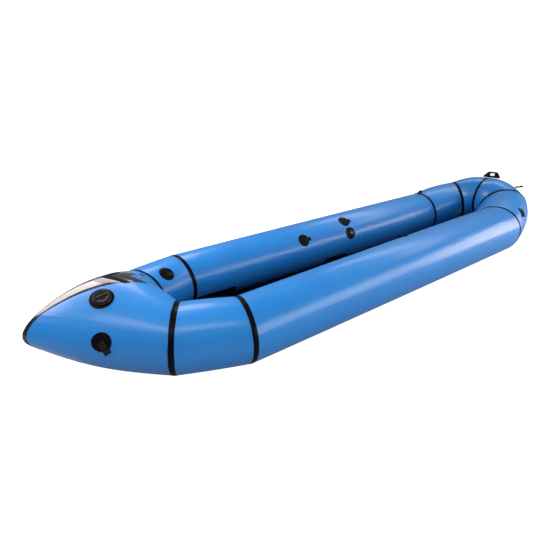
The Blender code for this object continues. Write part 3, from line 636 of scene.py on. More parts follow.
def build_skins():
    """The fabric sections, by name and side."""
    grids = [("bow_panel", "bow_fabric", bow_grid(64))]
    for index, (name, rows) in enumerate(
        [("elbow_tube", 30), ("side_tube", 90), ("quarter_tube", 32), ("stern_tube", 30)]
    ):
        grids.append((name, f"{name}_fabric", tube_grid(index, rows)))
    skins = {}
    for name, looks, (outer, normals, seam) in grids:
        for side, sign in SIDES_OF_BOAT:
            skins[name, side] = grid_piece(
                f"{looks}_{side}", outer, outer - SKIN * normals, True, BLUE, "hull", sign, seam,
                replaces=[f"{name}_{side}"], slot="tube_fabric",
            )
    return skins


def seam_tape(name, seam, before, after, sides):
    """Tape bent over a seam, with thin pressed edges and a hand-laid edge line."""
    _, ring_points, normals = STATIONS[seam]
    back = rows_unit(before - ring_points)
    ahead = rows_unit(after - ring_points)
    rng = np.random.default_rng(70 + seam)
    low, high = [], []
    for part, rise in TAPE_RISE:
        way = back if part < 0 else ahead
        wander = 0.0006 * np.sin(5 * ANGLES + rng.uniform(0, 6))
        wander = wander + 0.0004 * np.sin(13 * ANGLES + rng.uniform(0, 6))
        distance = abs(part) * (RING_TAPE_WIDTH / 2 + wander * (abs(part) > 0.9))
        square = rows_unit(normals - (normals * way).sum(axis=1, keepdims=True) * way)
        row = ring_points + way * distance[:, None] + square * pucker(seam, ANGLES, distance)[:, None]
        low.append(row + square * TAPE_LIFT)
        high.append(row + square * (TAPE_LIFT + TAPE * rise))
    low, high = np.array(low), np.array(high)
    for side, sign in sides:
        end = f"_{side}" if len(sides) > 1 else ""
        grid_piece(
            f"{name}_strip{end}", high, low, True, TAPE_BLACK, "hull", sign,
            replaces=[f"{name}_tape{end}"], slot="seam_tape",
        )


def build_tapes():
    """A tape over each mitre seam, led by the surface a little way to each side of it."""
    near = 0.03
    befores = [bow_surface(ANGLES, [2 * near])[0]] + [beside_ring(index, 1 - near) for index in range(4)]
    for index, name in enumerate(("bow_seam", "elbow_seam", "quarter_seam", "corner_seam")):
        seam_tape(name, index, befores[index], beside_ring(index, near), SIDES_OF_BOAT)
    seam_tape("stern_seam", 4, befores[4], befores[4] * MIRROR, (("middle", 1.0),))


def share_at_width(angle, half_width):
    """How far up the bow panel the surface comes within half_width of the centre-plane."""
    low, high = 0.0, 1.0
    for _ in range(30):
        share = (low + high) / 2
        if -bow_surface([angle], [share])[0, 0][1] > half_width:
            low = share
        else:
            high = share
    return (low + high) / 2


def centre_strip(angles, half_width, lift, thickness, across):
    """Rows across the bow's centre seam, half_width(angle) to each side, thinning at both edges."""
    low, high = [], []
    for angle in angles:
        edge = share_at_width(angle, half_width(angle))
        shares = np.linspace(edge, 1.0, across + 1)
        points = bow_surface([angle], shares)[:, 0]
        normals = surface_normals([angle] * len(shares), shares)
        normals[-1] = unit(normals[-1] * np.array([1.0, 0.0, 1.0]))
        points[-1, 1] = 0.0
        points = np.concatenate([points, points[-2::-1] * MIRROR])
        normals = np.concatenate([normals, normals[-2::-1] * MIRROR])
        width = np.linspace(-1, 1, len(points))
        rise = np.clip((1 - np.abs(width)) * across / 1.5, 0.3, 1.0)[:, None]
        low.append(points + normals * lift)
        high.append(points + normals * (lift + thickness * rise))
    return np.array(high), np.array(low)


def strip_half_width(angle):
    """The ridge strip widens from the tip towards the crotch."""
    part = (1 - math.cos(angle)) / 2
    grown = min(max((part - STRIP_START) / (STRIP_FULL - STRIP_START), 0.0), 1.0)
    return max(KEEL_TAPE_HALF, STRIP_WIDTH * math.sin(math.pi / 2 * grown) + STRIP_EDGE)


def build_bow_trim():
    """The ridge strip, the keel tape and the strap that crosses the strip."""
    last = math.acos(1 - 2 * STRIP_END)
    ridge = np.linspace(-0.06, last, 90)
    keel = np.linspace(-2.6, -0.085, 60)
    length = CROTCH[0] - TIP[0]
    angle = math.acos(1 - 2 * (STRAP_X - TIP[0]) / length)
    spread = STRAP_HALF_WIDTH / (math.sin(angle) * length / 2)
    strap = np.linspace(angle - spread, angle + spread, 9)
    for name, angles, half_width, lift, thick, across, material, replaced, slot in (
        ("ridge_strip", ridge, strip_half_width, STRIP_LIFT, STRIP_THICK, 10, STRIP_BLACK,
         "bow_ridge_strip", "seam_tape"),
        ("keel_strip", keel, lambda _: KEEL_TAPE_HALF, STRIP_LIFT, TAPE, 5, TAPE_BLACK,
         "keel_tape", "seam_tape"),
        ("bow_strap_webbing", strap, lambda _: STRAP_HALF_LENGTH, STRAP_LIFT, STRAP_THICK, 16, WEBBING_BLACK,
         "bow_strap", "webbing"),
    ):
        high, low = centre_strip(angles, half_width, lift, thick, across)
        grid_piece(name, high, low, False, material, "hull", replaces=[replaced], slot=slot)


# Frames on the hull: point, direction along, outward normal


def tube_frame(index, x, azimuth):
    """A frame on a tube section where its axis crosses x."""
    start, end = STATIONS[index][0], STATIONS[index + 1][0]
    return section_frame(index, (x - start[0]) / (end[0] - start[0]), azimuth)


def section_frame(index, share, azimuth):
    """A frame on a tube section, at a share of its length."""
    (start, a, _), (end, b, _) = STATIONS[index], STATIONS[index + 1]
    turn = math.radians(azimuth) / (2 * math.pi) * SIDES
    low = int(turn) % SIDES
    part = turn - int(turn)
    low_line = a[low] + (b[low] - a[low]) * share
    high_line = a[(low + 1) % SIDES] + (b[(low + 1) % SIDES] - a[(low + 1) % SIDES]) * share
    point = low_line * (1 - part) + high_line * part
    along = unit(b[low] - a[low])
    normal = point - (start + (end - start) * share)
    normal = unit(normal - (normal @ along) * along)
    return point + normal * swell(index, share, math.radians(azimuth)), along, normal


def seated(tree, where):
    """The frame moved along its normal onto its host, and turned square to it there."""
    point, along, normal = where
    hit, facing = tree.ray_cast(Vector(point + normal * PROBE), Vector(-normal))[:2]
    facing = np.array(facing) * math.copysign(1.0, np.array(facing) @ normal)
    return np.array(hit), unit(along - (along @ facing) * facing), facing


def bow_frame(x, y, upper=True):
    """A frame on the port bow panel: at x and y on its upper side, or at x and height y on its outer side."""
    angles = np.linspace(0.05, math.pi - 0.05, 120) if upper else np.linspace(-1.2, 1.2, 120)
    shares = np.linspace(0.02, 0.98, 120)
    grid = bow_surface(angles, shares)
    distance = np.hypot(grid[:, :, 0] - x, (grid[:, :, 1] if upper else grid[:, :, 2]) - y)
    row, column = np.unravel_index(distance.argmin(), distance.shape)
    normal = surface_normals([angles[column]], [shares[row]])[0]
    return grid[row, column], unit(np.array([1.0, 0, 0]) - normal[0] * normal), normal


def turned_frame(where, degrees):
    """The frame turned about its normal."""
    point, along, normal = where
    across = np.cross(normal, along)
    turn = math.radians(degrees)
    return point, unit(along * math.cos(turn) + across * math.sin(turn)), normal


def mirrored_frame(where, sign):
    return tuple(v * MIRROR for v in where) if sign < 0 else where


def in_frame(where, local):
    """Local points, as along, across and out, in the row frame."""
    point, along, normal = where
    across = np.cross(normal, along)
    local = np.asarray(local, float)
    return point + local[..., :1] * along + local[..., 1:2] * across + local[..., 2:3] * normal


def dropped(tree, where, flat):
    """Local flat points laid on the host along the frame's normal."""
    normal = where[2]
    flat = np.asarray(flat, float)
    starts = in_frame(where, np.concatenate([flat, np.full((*flat.shape[:-1], 1), PROBE)], axis=-1))
    out = np.empty_like(starts)
    for index in np.ndindex(starts.shape[:-1]):
        hit = tree.ray_cast(Vector(starts[index]), Vector(-normal), 0.2)[0]
        out[index] = np.array(hit) if hit is not None else starts[index] - normal * PROBE
    return out


def round_patch(name, tree, where, radius, hole, body="hull", **kept):
    """A round TPU patch that follows its host, with a pressed rim and a heat-seal ring."""
    rings = 16
    radii = np.linspace(max(hole, 0.0015), radius, rings)
    angles = np.linspace(0, 2 * math.pi, 96, endpoint=False)
    flat = np.stack([np.outer(radii, np.cos(angles)), np.outer(radii, np.sin(angles))], axis=-1)
    low = dropped(tree, where, flat)
    share = radii / radius
    rise = PATCH * np.clip((1 - share) * 14, 0.25, 1.0) + 0.0005 * np.exp(-(((share - 0.90) / 0.03) ** 2))
    high = low + where[2] * (PATCH_LIFT + rise[:, None, None])
    low = low + where[2] * PATCH_LIFT
    uv = np.concatenate([flat, flat[:, :1]], axis=1)
    points, faces, corners = grid_solid(high, low, uv, True)
    if hole == 0:
        columns, count = len(angles), low.shape[0] * low.shape[1]
        keep = [k for k, f in enumerate(faces) if not all(v % count < columns for v in f)]
        faces, corners = [faces[k] for k in keep], [corners[k] for k in keep]
        cap = tuple(range(columns))
        faces += [tuple(reversed(cap)), tuple(count + k for k in cap)]
        corners += [tuple(tuple(uv[0, k]) for k in reversed(cap)), tuple(tuple(uv[0, k]) for k in cap)]
    return make_mesh(name, points, faces, corners, PATCH_BLACK, body, **kept)


def stitch_row(places, directions, normals):
    """Points and faces of one short thread bead at each place."""
    length, radius = STITCH_LENGTH, STITCH_RADIUS
    points, faces = [], []
    for place, way, normal in zip(places, directions, normals):
        side = np.cross(normal, way)
        base = len(points)
        points.append(place - way * length / 2 - normal * radius)
        for step in (-0.25, 0.25):
            for turn in range(6):
                t = turn * math.pi / 3
                round_it = radius * (math.cos(t) * side + math.sin(t) * normal)
                points.append(place + way * step * length + round_it)
        points.append(place + way * length / 2 - normal * radius)
        for k in range(6):
            n = (k + 1) % 6
            faces.append((base, base + 1 + n, base + 1 + k))
            faces.append((base + 1 + k, base + 1 + n, base + 7 + n, base + 7 + k))
            faces.append((base + 7 + k, base + 7 + n, base + 13))
    return points, faces


def box_stitch(where, centre, half_long, half_wide, height):
    """Thread of a box with a cross in it, in a frame."""
    corners = [(-1, -1), (1, -1), (1, 1), (-1, 1)]
    lines = list(zip(corners, corners[1:] + corners[:1])) + [((-1, -1), (1, 1)), ((-1, 1), (1, -1))]
    places, ways = [], []
    for a, b in lines:
        a = np.array([centre[0] + a[0] * half_long, centre[1] + a[1] * half_wide])
        b = np.array([centre[0] + b[0] * half_long, centre[1] + b[1] * half_wide])
        count = max(2, round(np.linalg.norm(b - a) / (STITCH_LENGTH * 1.25)))
        for k in range(count):
            spot = a + (b - a) * (k + 0.5) / count
            places.append((*spot, height))
            ways.append((*unit(b - a), 0.0))
    spots = in_frame(where, np.array(places))
    zero = (np.zeros(3), where[1], where[2])
    ways = [unit(in_frame(zero, np.array(way))) for way in ways]
    return stitch_row(spots, ways, [where[2]] * len(ways))


def thread_piece(name, parts, body):
    """All the stitching of one fitting, as one piece."""
    points, faces = [], []
    for more_points, more_faces in parts:
        base = len(points)
        points += list(more_points)
        faces += [tuple(base + k for k in face) for face in more_faces]
    points = np.array(points)
    corners = [tuple((0.0, 0.0) for _ in face) for face in faces]
    return make_mesh(name, points, faces, corners, THREAD, body, slot="webbing", sharp=180.0)


def strap_piece(name, where, line, width, thickness, body, wide_steps=10, **kept):
    """Webbing swept along a line of (along, out) points in a frame, with rounded selvedges."""
    line = np.asarray(line, float)
    tangent = rows_unit(np.gradient(line, axis=0))
    normal = np.stack([-tangent[:, 1], tangent[:, 0]], axis=1)
    spread = np.linspace(-1, 1, wide_steps + 1)
    edge = np.sqrt(np.clip(1 - np.abs(spread) ** 8, 0.05, 1))
    high, low = [], []
    for point, out, thick in zip(line, normal, np.broadcast_to(thickness, len(line))):
        offset = out[None, :] * (thick / 2 * edge)[:, None]
        for rows, side in ((high, 1.0), (low, -1.0)):
            spot = point + side * offset
            rows.append(np.stack([spot[:, 0], spread * width / 2, spot[:, 1]], axis=1))
    high, low = in_frame(where, np.array(high)), in_frame(where, np.array(low))
    return grid_piece(name, high, low, False, WEBBING_BLACK, body, **kept)


def folded_line(length, height, gap=0.0022):
    """Centre line of a strap that runs out, turns back in a small eye and returns on top of itself."""
    eye = 0.0032
    turn = []
    for t in np.linspace(0, math.pi, 15):
        opening = gap / 2 + 0.0006 + 0.0018 * math.sin(t / 2) ** 0.5
        turn.append((length - eye + eye * math.sin(t), height + gap / 2 - opening * math.cos(t)))
    out = [(x, height) for x in np.linspace(0.0, length - 0.012, 12)]
    back = [(x, height + gap) for x in np.linspace(length - 0.012, 0.0, 12)]
    return out + turn + back


def refine(line, steps=2):
    """A line with its corners cut, twice, so that it bends smoothly."""
    line = np.asarray(line, float)
    for _ in range(steps):
        first = line[:-1] * 0.75 + line[1:] * 0.25
        second = line[:-1] * 0.25 + line[1:] * 0.75
        line = np.concatenate([line[:1], np.stack([first, second], axis=1).reshape(-1, 2), line[-1:]])
    return line


def lash_tab(name, where, length, width):
    """A folded webbing tab sewn at its root, in its hinge's frame, with its stitching."""
    line = refine(folded_line(length, -TAB_THICK / 2 + WEBBING / 2 + 0.0001))
    strap_piece(f"{name}_webbing", where, line, width, WEBBING, name, replaces=[name], slot="webbing")
    top = -TAB_THICK / 2 + WEBBING + 0.0024
    thread_piece(f"{name}_stitching", [box_stitch(where, (0.014, 0), 0.010, width * 0.36, top)], name)


def hinge_frame(body, where):
    """The frame moved to its hinge's own point."""
    return np.array(JOINT_OF[body]["pos_m"]), where[1], where[2]


def lathe(profile, steps=96, ribs=0, rib_depth=0.0, rib_rows=()):
    """A closed profile of (radius, height) turned round the frame's normal. Rows in rib_rows carry ribs."""
    angle = np.linspace(0, 2 * math.pi, steps, endpoint=False)
    grid = []
    for k, (radius, height) in enumerate(profile):
        r = radius + (rib_depth * np.cos(ribs * angle) if k in rib_rows else 0.0 * angle)
        grid.append(np.stack([r * np.cos(angle), r * np.sin(angle), np.full(steps, height)], axis=1))
    return np.array(grid)


def lathe_piece(name, where, profile, material, body, closes=False, **kept):
    """closes: the profile starts and ends on the axis; otherwise it joins its own start, as a ring does."""
    shape = {key: kept.pop(key) for key in ("steps", "ribs", "rib_depth", "rib_rows") if key in kept}
    grid = in_frame(where, lathe(profile, **shape))
    rows, columns = grid.shape[:2]
    uv = metre_uv(grid, True)
    points = grid.reshape(-1, 3)
    faces, corners = [], []
    for i in range(rows - 1 if closes else rows):
        for j in range(columns):
            n = (i + 1) % rows
            cell = ((i, j), (i, j + 1), (n, j + 1), (n, j))
            faces.append(tuple(a * columns + b % columns for a, b in cell))
            corners.append(tuple(tuple(uv[c]) for c in cell))
    if closes:
        around = range(columns)
        faces += [tuple(reversed(around)), tuple((rows - 1) * columns + j for j in around)]
        corners.append(tuple(tuple(uv[0, j]) for j in reversed(around)))
        corners.append(tuple(tuple(uv[-1, j]) for j in around))
    return make_mesh(name, points, faces, corners, material, body, **kept)


def rounded(profile, steps=4, closed=True):
    """A profile with each of its corners cut round."""
    points = [np.array(p, float) for p in profile]
    out = []
    count = len(points)
    for k, here in enumerate(points):
        if not closed and k in (0, count - 1):
            out.append(tuple(here))
            continue
        before, after = points[k - 1], points[(k + 1) % count]
        reach = min(0.0008, 0.4 * np.linalg.norm(before - here), 0.4 * np.linalg.norm(after - here))
        a, b = here + unit(before - here) * reach, here + unit(after - here) * reach
        for t in np.linspace(0, 1, steps):
            out.append(tuple(a * (1 - t) ** 2 + here * 2 * t * (1 - t) + b * t**2))
    return out


def build_main_valve(skins):
    """Patch, flange, screw-in ring, flap membrane, lid with its grip bar, and the lid's strap."""
    where = bow_frame(ELBOW_X + MAIN_VALVE_PLACE[0], MAIN_VALVE_PLACE[1])
    tree = tree_of(skins["bow_panel", "port"])
    round_patch("main_valve_tpu", tree, where, 0.0465, 0.0245, replaces=["main_valve_patch"], slot="patch")
    seat = hinge_frame("main_valve_insert", where)
    base = rounded([(0.0220, -0.012), (0.0240, -0.012), (0.0240, 0.0), (0.0362, 0.0), (0.0362, 0.0032),
                    (0.0345, 0.0046), (0.0338, 0.0066), (0.0318, 0.0068), (0.0308, 0.0052), (0.0270, 0.0052),
                    (0.0262, 0.0020), (0.0220, 0.0020)])
    lathe_piece("main_valve_flange", seat, base, PLASTIC, "hull", replaces=["main_valve_base"],
                slot="valve_plastic")
    insert = rounded([(0.0170, -0.010), (0.0216, -0.010), (0.0216, 0.0024), (0.0256, 0.0024),
                      (0.0256, 0.0062), (0.0240, 0.0066), (0.0170, 0.0066)])
    lathe_piece("main_valve_ring", seat, insert, PLASTIC, "main_valve_insert", replaces=["main_valve_insert"],
                slot="valve_plastic", ribs=24, rib_depth=0.00018, rib_rows=tuple(range(16, 20)))
    flap = rounded([(0.0004, -0.0111), (0.0205, -0.0111), (0.0205, -0.0103), (0.0004, -0.0103)], closed=False)
    lathe_piece("main_valve_membrane", seat, flap, PATCH_BLACK, "hull", True, replaces=["main_valve_flap"],
                slot="patch")
    cap = [(0.0004, 0.0074), (0.0262, 0.0074), (0.0268, 0.0070), (0.0308, 0.0070), (0.0308, 0.0112)]
    cap += [(0.0290, 0.0128), (0.0264, 0.0128), (0.0252, 0.0112), (0.0060, 0.0112), (0.0004, 0.0114)]
    cap = rounded(cap, closed=False)
    lathe_piece("main_valve_lid", seat, cap, PLASTIC, "main_valve_cap", True, replaces=["main_valve_cap"],
                slot="valve_plastic", steps=192, ribs=48, rib_depth=0.00035, rib_rows=tuple(range(9, 17)))
    rows = []
    for x, half in ((-0.0235, 0.0016), (-0.0225, 0.0026), (-0.018, 0.0030), (0.0, 0.0026),
                    (0.018, 0.0030), (0.0225, 0.0026), (0.0235, 0.0016)):
        top = 0.0110 + (0.0052 if abs(x) < 0.023 else 0.002)
        left = [(-half, 0.0108), (-half, top - 0.0012), (-half * 0.6, top)]
        rows.append([(x, y, z) for y, z in left] + [(x, -y, z) for y, z in reversed(left)])
    rows = np.array(rows)
    base_rows = rows.copy()
    base_rows[:, :, 2] = 0.0106
    grid_piece("main_valve_grip", in_frame(seat, rows), in_frame(seat, base_rows), False, PLASTIC,
               "main_valve_cap", slot="valve_plastic")
    shares = np.linspace(0, 1, 24)
    line = [(0.0305 + 0.0072 * math.sin(math.pi * t * 0.62), 0.0098 - 0.0086 * t) for t in shares]
    spread = np.linspace(-0.0050, 0.0050, 7)
    high = np.array([[(x + 0.0006, y, z) for y in spread] for x, z in line])
    low = np.array([[(x - 0.0006, y, z) for y in spread] for x, z in line])
    grid_piece("main_valve_strap", in_frame(seat, high), in_frame(seat, low), False, PATCH_BLACK, "hull",
               replaces=["main_valve_tether"], slot="patch")


def build_mouth_valve(skins):
    """Patch, flange and the knob that is twisted open to top up by mouth."""
    where = mirrored_frame(tube_frame(1, ELBOW_X + MOUTH_VALVE_PLACE[0], MOUTH_VALVE_PLACE[1]), -1)
    tree = tree_of(skins["side_tube", "starboard"])
    round_patch("mouth_valve_tpu", tree, where, 0.044, 0.0125, replaces=["mouth_valve_patch"], slot="patch")
    seat = hinge_frame("mouth_valve_knob", where)
    base = rounded([(0.0095, -0.010), (0.0120, -0.010), (0.0120, 0.0), (0.0200, 0.0), (0.0200, 0.0026),
                    (0.0172, 0.0034), (0.0160, 0.0050), (0.0095, 0.0050)])
    lathe_piece("mouth_valve_flange", seat, base, PLASTIC, "hull", replaces=["mouth_valve_base"],
                slot="valve_plastic")
    knob = [(0.0004, -0.008), (0.0091, -0.008), (0.0091, 0.0054), (0.0148, 0.0054), (0.0148, 0.0118)]
    knob += [(0.0124, 0.0140), (0.0080, 0.0140), (0.0070, 0.0128), (0.0004, 0.0128)]
    knob = rounded(knob, closed=False)
    lathe_piece("mouth_valve_twist", seat, knob, PLASTIC, "mouth_valve_knob", True,
                replaces=["mouth_valve_knob"], slot="valve_plastic", steps=144, ribs=18, rib_depth=0.0005,
                rib_rows=tuple(range(9, 17)))


# Each lash point's frame, host, patch radius and tab length
LASH_POINTS = {
    "bow_lash": (turned_frame(bow_frame(ELBOW_X - 0.538, 0.243, False), -74), "bow_panel", 0.038, 0.054),
    "elbow_lash": (turned_frame(tube_frame(0, ELBOW_X - 0.160, 128), 35), "elbow_tube", 0.040, 0.036),
    "cockpit_lash": (tube_frame(1, ELBOW_X + 0.830, 143), "side_tube", 0.042, 0.056),
    "top_lash": (turned_frame(tube_frame(1, ELBOW_X + 1.263, 122), 10), "side_tube", 0.044, 0.056),
}


def build_lash_points(skins):
    """The round patches with their folded tabs, and the quarter loops."""
    for side, sign in SIDES_OF_BOAT:
        for name, (where, host, radius, length) in LASH_POINTS.items():
            placed = mirrored_frame(where, sign)
            round_patch(f"{name}_disc_{side}", tree_of(skins[host, side]), placed, radius, 0,
                        replaces=[f"{name}_patch_{side}"], slot="patch")
            tab = f"{name}_tab_{side}"
            lash_tab(tab, hinge_frame(tab, placed), length, TAB_WIDTH)
        name = f"quarter_loop_{side}"
        placed = mirrored_frame(turned_frame(section_frame(2, *LOOP_PLACE), LOOP_TURN), sign)
        placed = seated(tree_of(skins["quarter_tube", side]), placed)
        build_loop(name, hinge_frame(name, placed))


def build_loop(name, where):
    """A V of narrow webbing: two legs sewn on apart that meet, one over the other, in a stitched end."""
    for leg, end in ((-1.0, "near"), (1.0, "far")):
        start = np.array([0.0, leg * (LOOP_WIDTH / 2 - LEG_HALF)])
        stop = np.array([LOOP_LENGTH - 0.004, leg * 0.002])
        way = unit(stop - start)
        side = np.array([-way[1], way[0]])
        rise = WEBBING * (0.6 + 0.55 * (leg + 1))
        high, low = [], []
        for share in np.linspace(0, 1, 24):
            middle = start + (stop - start) * share
            out = -TAB_THICK / 2 + rise * min(1.0, 3 * share + 0.3) + 0.0012 * math.sin(math.pi * share)
            edge = [middle + side * LEG_HALF * w for w in np.linspace(-1, 1, 9)]
            high.append([(a, b, out + WEBBING / 2) for a, b in edge])
            low.append([(a, b, out - WEBBING / 2) for a, b in edge])
        kept = {"replaces": [name]} if leg < 0 else {}
        high, low = in_frame(where, np.array(high)), in_frame(where, np.array(low))
        grid_piece(f"{name}_leg_{end}", high, low, False, WEBBING_BLACK, name, slot="webbing", **kept)
    top = -TAB_THICK / 2 + WEBBING * 2.3
    thread_piece(f"{name}_stitching", [box_stitch(where, (LOOP_LENGTH - 0.012, 0), 0.006, 0.005, top)], name)


def build_seat_patch(name, skins, side, sign, x, length):
    """A long patch with rounded corners, low on the cockpit side of a tube."""
    where = mirrored_frame(tube_frame(1, ELBOW_X + x, SEAT_AZIMUTH), sign)
    u = np.linspace(-length / 2, length / 2, 48)
    v = np.linspace(-SEAT_HALF, SEAT_HALF, 16)
    flat = np.stack(np.meshgrid(u, v, indexing="ij"), axis=-1)
    corner = np.clip((np.abs(flat[..., 0]) - (length / 2 - SEAT_CORNER)) / SEAT_CORNER, 0, 1)
    flat[..., 1] *= 1 - 0.35 * (1 - np.sqrt(1 - np.clip(corner, 0, 0.999) ** 2))
    low = dropped(tree_of(skins["side_tube", side]), where, flat)
    edge = np.minimum(length / 2 - np.abs(flat[..., 0]), SEAT_HALF - np.abs(flat[..., 1]))
    rise = PATCH * np.clip(edge / 0.003, 0.25, 1.0)
    high = low + where[2] * (PATCH_LIFT + rise[..., None])
    grid_piece(f"{name}_tpu_{side}", high, low + where[2] * PATCH_LIFT, False, PATCH_BLACK, "hull",
               replaces=[f"{name}_{side}"], slot="patch")


def build_small_tabs(skins):
    """Seat patches, small tabs by the floor, the anchor patch and the tab on the starboard quarter seam."""
    for side, sign in SIDES_OF_BOAT:
        for name, x, length in SEAT_PATCHES:
            build_seat_patch(name, skins, side, sign, x, length)
        where = mirrored_frame(tube_frame(1, ELBOW_X + FLOOR_TAB_PLACE[0], FLOOR_TAB_PLACE[1]), sign)
        rows = []
        for z in np.linspace(0.0012, FLOOR_TAB_TOP, 10):
            half = 0.020 - 0.016 * min(1.0, (z / FLOOR_TAB_TOP)) ** 0.8
            rows.append([(x, 0.0, z) for x in np.linspace(-half, half, 9)])
        rows = np.array(rows)
        shift = np.array([0.0, 0.0013, 0.0])
        grid_piece(f"floor_tab_webbing_{side}", in_frame(where, rows + shift), in_frame(where, rows - shift),
                   False, WEBBING_BLACK, "hull", replaces=[f"floor_tab_{side}"], slot="webbing")
    anchor = mirrored_frame(bow_frame(ELBOW_X + ANCHOR_PLACE[0], ANCHOR_PLACE[1]), -1)
    round_patch("bow_anchor_disc", tree_of(skins["bow_panel", "starboard"]), anchor, ANCHOR_R, 0,
                replaces=["bow_anchor_patch"], slot="patch")
    where = (STATIONS[2][1][SIDES // 4] * MIRROR, np.array([0, 1.0, 0]), UP)
    rows = []
    for t in np.linspace(0, math.pi, 17):
        out = TOP_TAB_FOOT + TOP_TAB_HEIGHT * math.sin(t) ** 0.6
        rows.append([(TOP_TAB_HALF * math.cos(t), y, out) for y in np.linspace(-0.012, 0.012, 9)])
    outer = np.array(rows)
    inner = outer.copy()
    inner[..., 0] *= 0.72
    inner[..., 2] = TOP_TAB_FOOT + (outer[..., 2] - TOP_TAB_FOOT) * 0.80
    grid_piece("quarter_top_tab_webbing", in_frame(where, outer), in_frame(where, inner), False,
               WEBBING_BLACK, "hull", replaces=["quarter_top_tab"], slot="webbing")


def build_corner_tab(skins):
    """A narrow webbing tab with a thicker folded end, standing off the stern's port corner."""
    placed = turned_frame(section_frame(3, *CORNER_PLACE), 180)
    _, along, normal = seated(tree_of(skins["stern_tube", "port"]), placed)
    lean_way = unit(along * math.cos(CORNER_LEAN) + normal * math.sin(CORNER_LEAN))
    lean_out = unit(normal * math.cos(CORNER_LEAN) - along * math.sin(CORNER_LEAN))
    where = hinge_frame("corner_tab", (placed[0], lean_way, lean_out))
    reach = np.concatenate([np.linspace(0.0, 0.050, 20), np.linspace(0.0505, CORNER_LENGTH, 30)])
    roll = np.sqrt(np.clip(1 - ((reach - CORNER_LENGTH + CORNER_ROLL) / CORNER_ROLL) ** 2, 0.0, 1.0))
    thick = 2 * np.maximum(CORNER_ROLL * roll, CORNER_HALF * (reach < CORNER_LENGTH - CORNER_ROLL) + 0.0004)
    line = [(x, 0.0) for x in reach]
    strap_piece("corner_tab_webbing", where, line, CORNER_WIDTH, thick, "corner_tab", 8,
                replaces=["corner_tab"], slot="webbing")
    stitching = box_stitch(where, (0.012, 0), 0.008, 0.0045, CORNER_HALF)
    thread_piece("corner_tab_stitching", [stitching], "corner_tab")


def smooth_loop(outline, steps=3):
    """A closed outline with its corners cut round."""
    line = np.array(outline, float)
    for _ in range(steps):
        after = np.roll(line, -1, axis=0)
        line = np.stack([line * 0.75 + after * 0.25, line * 0.25 + after * 0.75], axis=1).reshape(-1, 2)
    return line


def build_stern_handle():
    """A padded carry handle: webbing wrapped and sewn round a finger hole, standing on its foot."""
    out = unit(np.array([HANDLE_BACK, 0.0, math.sqrt(STERN_R**2 - HANDLE_BACK**2)]))
    where = hinge_frame("stern_handle", (STATIONS[4][0], np.array([0.0, -1.0, 0.0]), out))
    outer, inner = smooth_loop(HANDLE_OUTER), smooth_loop(HANDLE_INNER)
    middle, reach = (outer + inner) / 2, (outer - inner) / 2
    turn = np.linspace(0, 2 * math.pi, 32, endpoint=False)
    across = np.sign(np.cos(turn)) * np.abs(np.cos(turn)) ** 0.75
    thick = np.sign(np.sin(turn)) * np.abs(np.sin(turn)) ** 0.6
    rows = []
    for spot, way in zip(middle, reach):
        flat = spot + way * across[:, None]
        rows.append(np.stack([flat[:, 0], HANDLE_HALF * thick, flat[:, 1]], axis=1))
    rows.append(rows[0])
    grid = in_frame(where, np.array(rows))
    uv = metre_uv(grid, True)
    count, columns = len(rows) - 1, len(turn)
    faces, corners = [], []
    for i in range(count):
        for j in range(columns):
            cell = ((i, j), (i, j + 1), (i + 1, j + 1), (i + 1, j))
            faces.append(tuple((a % count) * columns + b % columns for a, b in cell))
            corners.append(tuple(tuple(uv[c]) for c in cell))
    make_mesh("stern_handle_grip", grid[:count].reshape(-1, 3), faces, corners, WEBBING_BLACK, "stern_handle",
              replaces=["stern_handle"], slot="webbing")
    lines = []
    for side in (-1.0, 1.0):
        face = (where[0], where[1] * side, np.cross(where[1], where[2]) * side)
        lines.append(box_stitch(face, (0.0, 0.0455), 0.026, 0.0022, HANDLE_HALF))
    thread_piece("stern_handle_stitching", lines, "stern_handle")


def build_floor():
    """The floor sheet between the lowest lines of the tubes, slack enough to ripple between them."""
    bottom = 3 * SIDES // 4
    shares = np.linspace(0, 1, 7)[1:-1]
    lowest = [station[1][bottom] for station in STATIONS[:4]]
    lowest[3:3] = [beside_ring(2, share)[bottom] for share in shares]
    edge = np.array(lowest) - UP * FLOOR_CLEAR
    edge[1:3, 2] = FLOOR
    reach = np.concatenate([[0.0], np.cumsum(np.linalg.norm(np.diff(edge, axis=0), axis=1))])
    along = np.linspace(0, reach[-1], 260)
    line = np.stack([np.interp(along, reach, edge[:, k]) for k in range(3)], axis=1)
    across = np.linspace(1, -1, 56)
    rng = np.random.default_rng(5)
    grid = np.stack([np.stack([line[:, 0], line[:, 1] * y, line[:, 2]], axis=1) for y in across], axis=1)
    x, y = grid[..., 0], grid[..., 1]
    ripple = np.zeros_like(x)
    for _ in range(9):
        kx, ky = rng.uniform(6, 26), rng.uniform(-18, 18)
        ripple += rng.uniform(0.3, 1.0) * np.sin(kx * x + ky * y + rng.uniform(0, 6))
    border = np.clip((1 - np.abs(across)) / 0.15, 0, 1)[None, :]
    border = border * np.clip(np.minimum(along, reach[-1] - along) / 0.1, 0, 1)[:, None]
    grid[..., 2] += 0.0016 * border * (1 + ripple / 4).clip(0, 3)
    low = grid - UP * FLOOR
    sheet = grid_piece("floor_cloth", grid, low, False, FLOOR_BLACK, "hull", replaces=["floor_sheet"],
                       slot="floor_fabric")


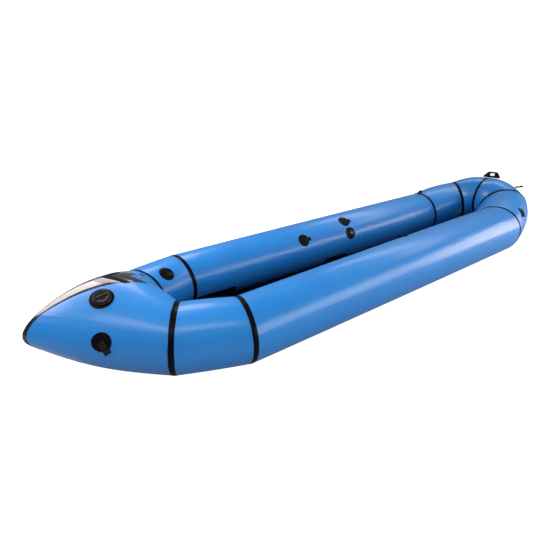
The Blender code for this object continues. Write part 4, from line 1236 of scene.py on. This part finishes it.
def build_stage():
    """A wide pale floor."""
    mesh = bpy.data.meshes.new("ground")
    corners = ((-1, -1), (1, -1), (1, 1), (-1, 1))
    mesh.from_pydata([(40.0 * x, 40.0 * y, -0.0006) for x, y in corners], [], [(0, 1, 2, 3)])
    graph = Graph("pale_floor")
    cloud = graph.noise(graph.place(), 0.8, 3.0)
    tone = graph.blend(cloud, 0.3, 0.7, (0.46, 0.46, 0.465, 1), (0.48, 0.48, 0.485, 1))
    graph.shade(Base_Color=tone, Roughness=0.9, Specular_IOR_Level=0.1)
    graph.shade(Emission_Color=(1.0, 1.0, 1.0, 1.0))
    graph.shade(Emission_Strength=seen_or_lit(graph.tree, FLOOR_GLOW, 0.0))
    mesh.materials.append(graph.material)
    ground = bpy.data.objects.new("ground", mesh)
    bpy.context.scene.collection.objects.link(ground)


def softbox(name, place, target, size, watts, tone):
    data = bpy.data.lights.new(name, "AREA")
    data.shape = "RECTANGLE"
    data.size, data.size_y = size
    data.energy = watts
    data.color = tone
    obj = bpy.data.objects.new(name, data)
    obj.location = place
    obj.rotation_euler = (Vector(target) - Vector(place)).to_track_quat("-Z", "Y").to_euler()
    bpy.context.scene.collection.objects.link(obj)


def seen_or_lit(tree, seen, lit):
    """One value where the camera looks straight at the studio, another for the light that it gives."""
    ray = tree.nodes.new("ShaderNodeLightPath")
    pick = tree.nodes.new("ShaderNodeMapRange")
    tree.links.new(ray.outputs["Is Camera Ray"], pick.inputs["Value"])
    pick.inputs["To Min"].default_value = lit
    pick.inputs["To Max"].default_value = seen
    return pick.outputs[0]


def build_light():
    world = bpy.data.worlds.new("studio")
    world.use_nodes = True
    sky = world.node_tree.nodes["Background"]
    sky.inputs["Color"].default_value = (0.96, 0.98, 1.0, 1.0)
    world.node_tree.links.new(seen_or_lit(world.node_tree, 1.05, WORLD_LIGHT), sky.inputs["Strength"])
    bpy.context.scene.world = world
    for name, place, target, size, watts, tone in SOFTBOXES:
        softbox(name, place, target, size, watts, tone)


def build_camera():
    data = bpy.data.cameras.new("camera")
    data.sensor_width = 36.0
    data.lens = CAMERA_LENS
    data.clip_start, data.clip_end = 0.05, 200.0
    camera = bpy.data.objects.new("camera", data)
    camera.location = CAMERA_PLACE
    camera.rotation_euler = (math.pi / 2 - CAMERA_PITCH, 0.0, -CAMERA_YAW)
    bpy.context.scene.collection.objects.link(camera)
    bpy.context.scene.camera = camera
    bpy.context.scene.view_settings.view_transform = "Standard"


def main():
    skins = build_skins()
    build_tapes()
    build_bow_trim()
    build_lash_points(skins)
    build_small_tabs(skins)
    build_corner_tab(skins)
    build_stern_handle()
    build_main_valve(skins)
    build_mouth_valve(skins)
    build_floor()
    build_stage()
    build_light()
    build_camera()


main()
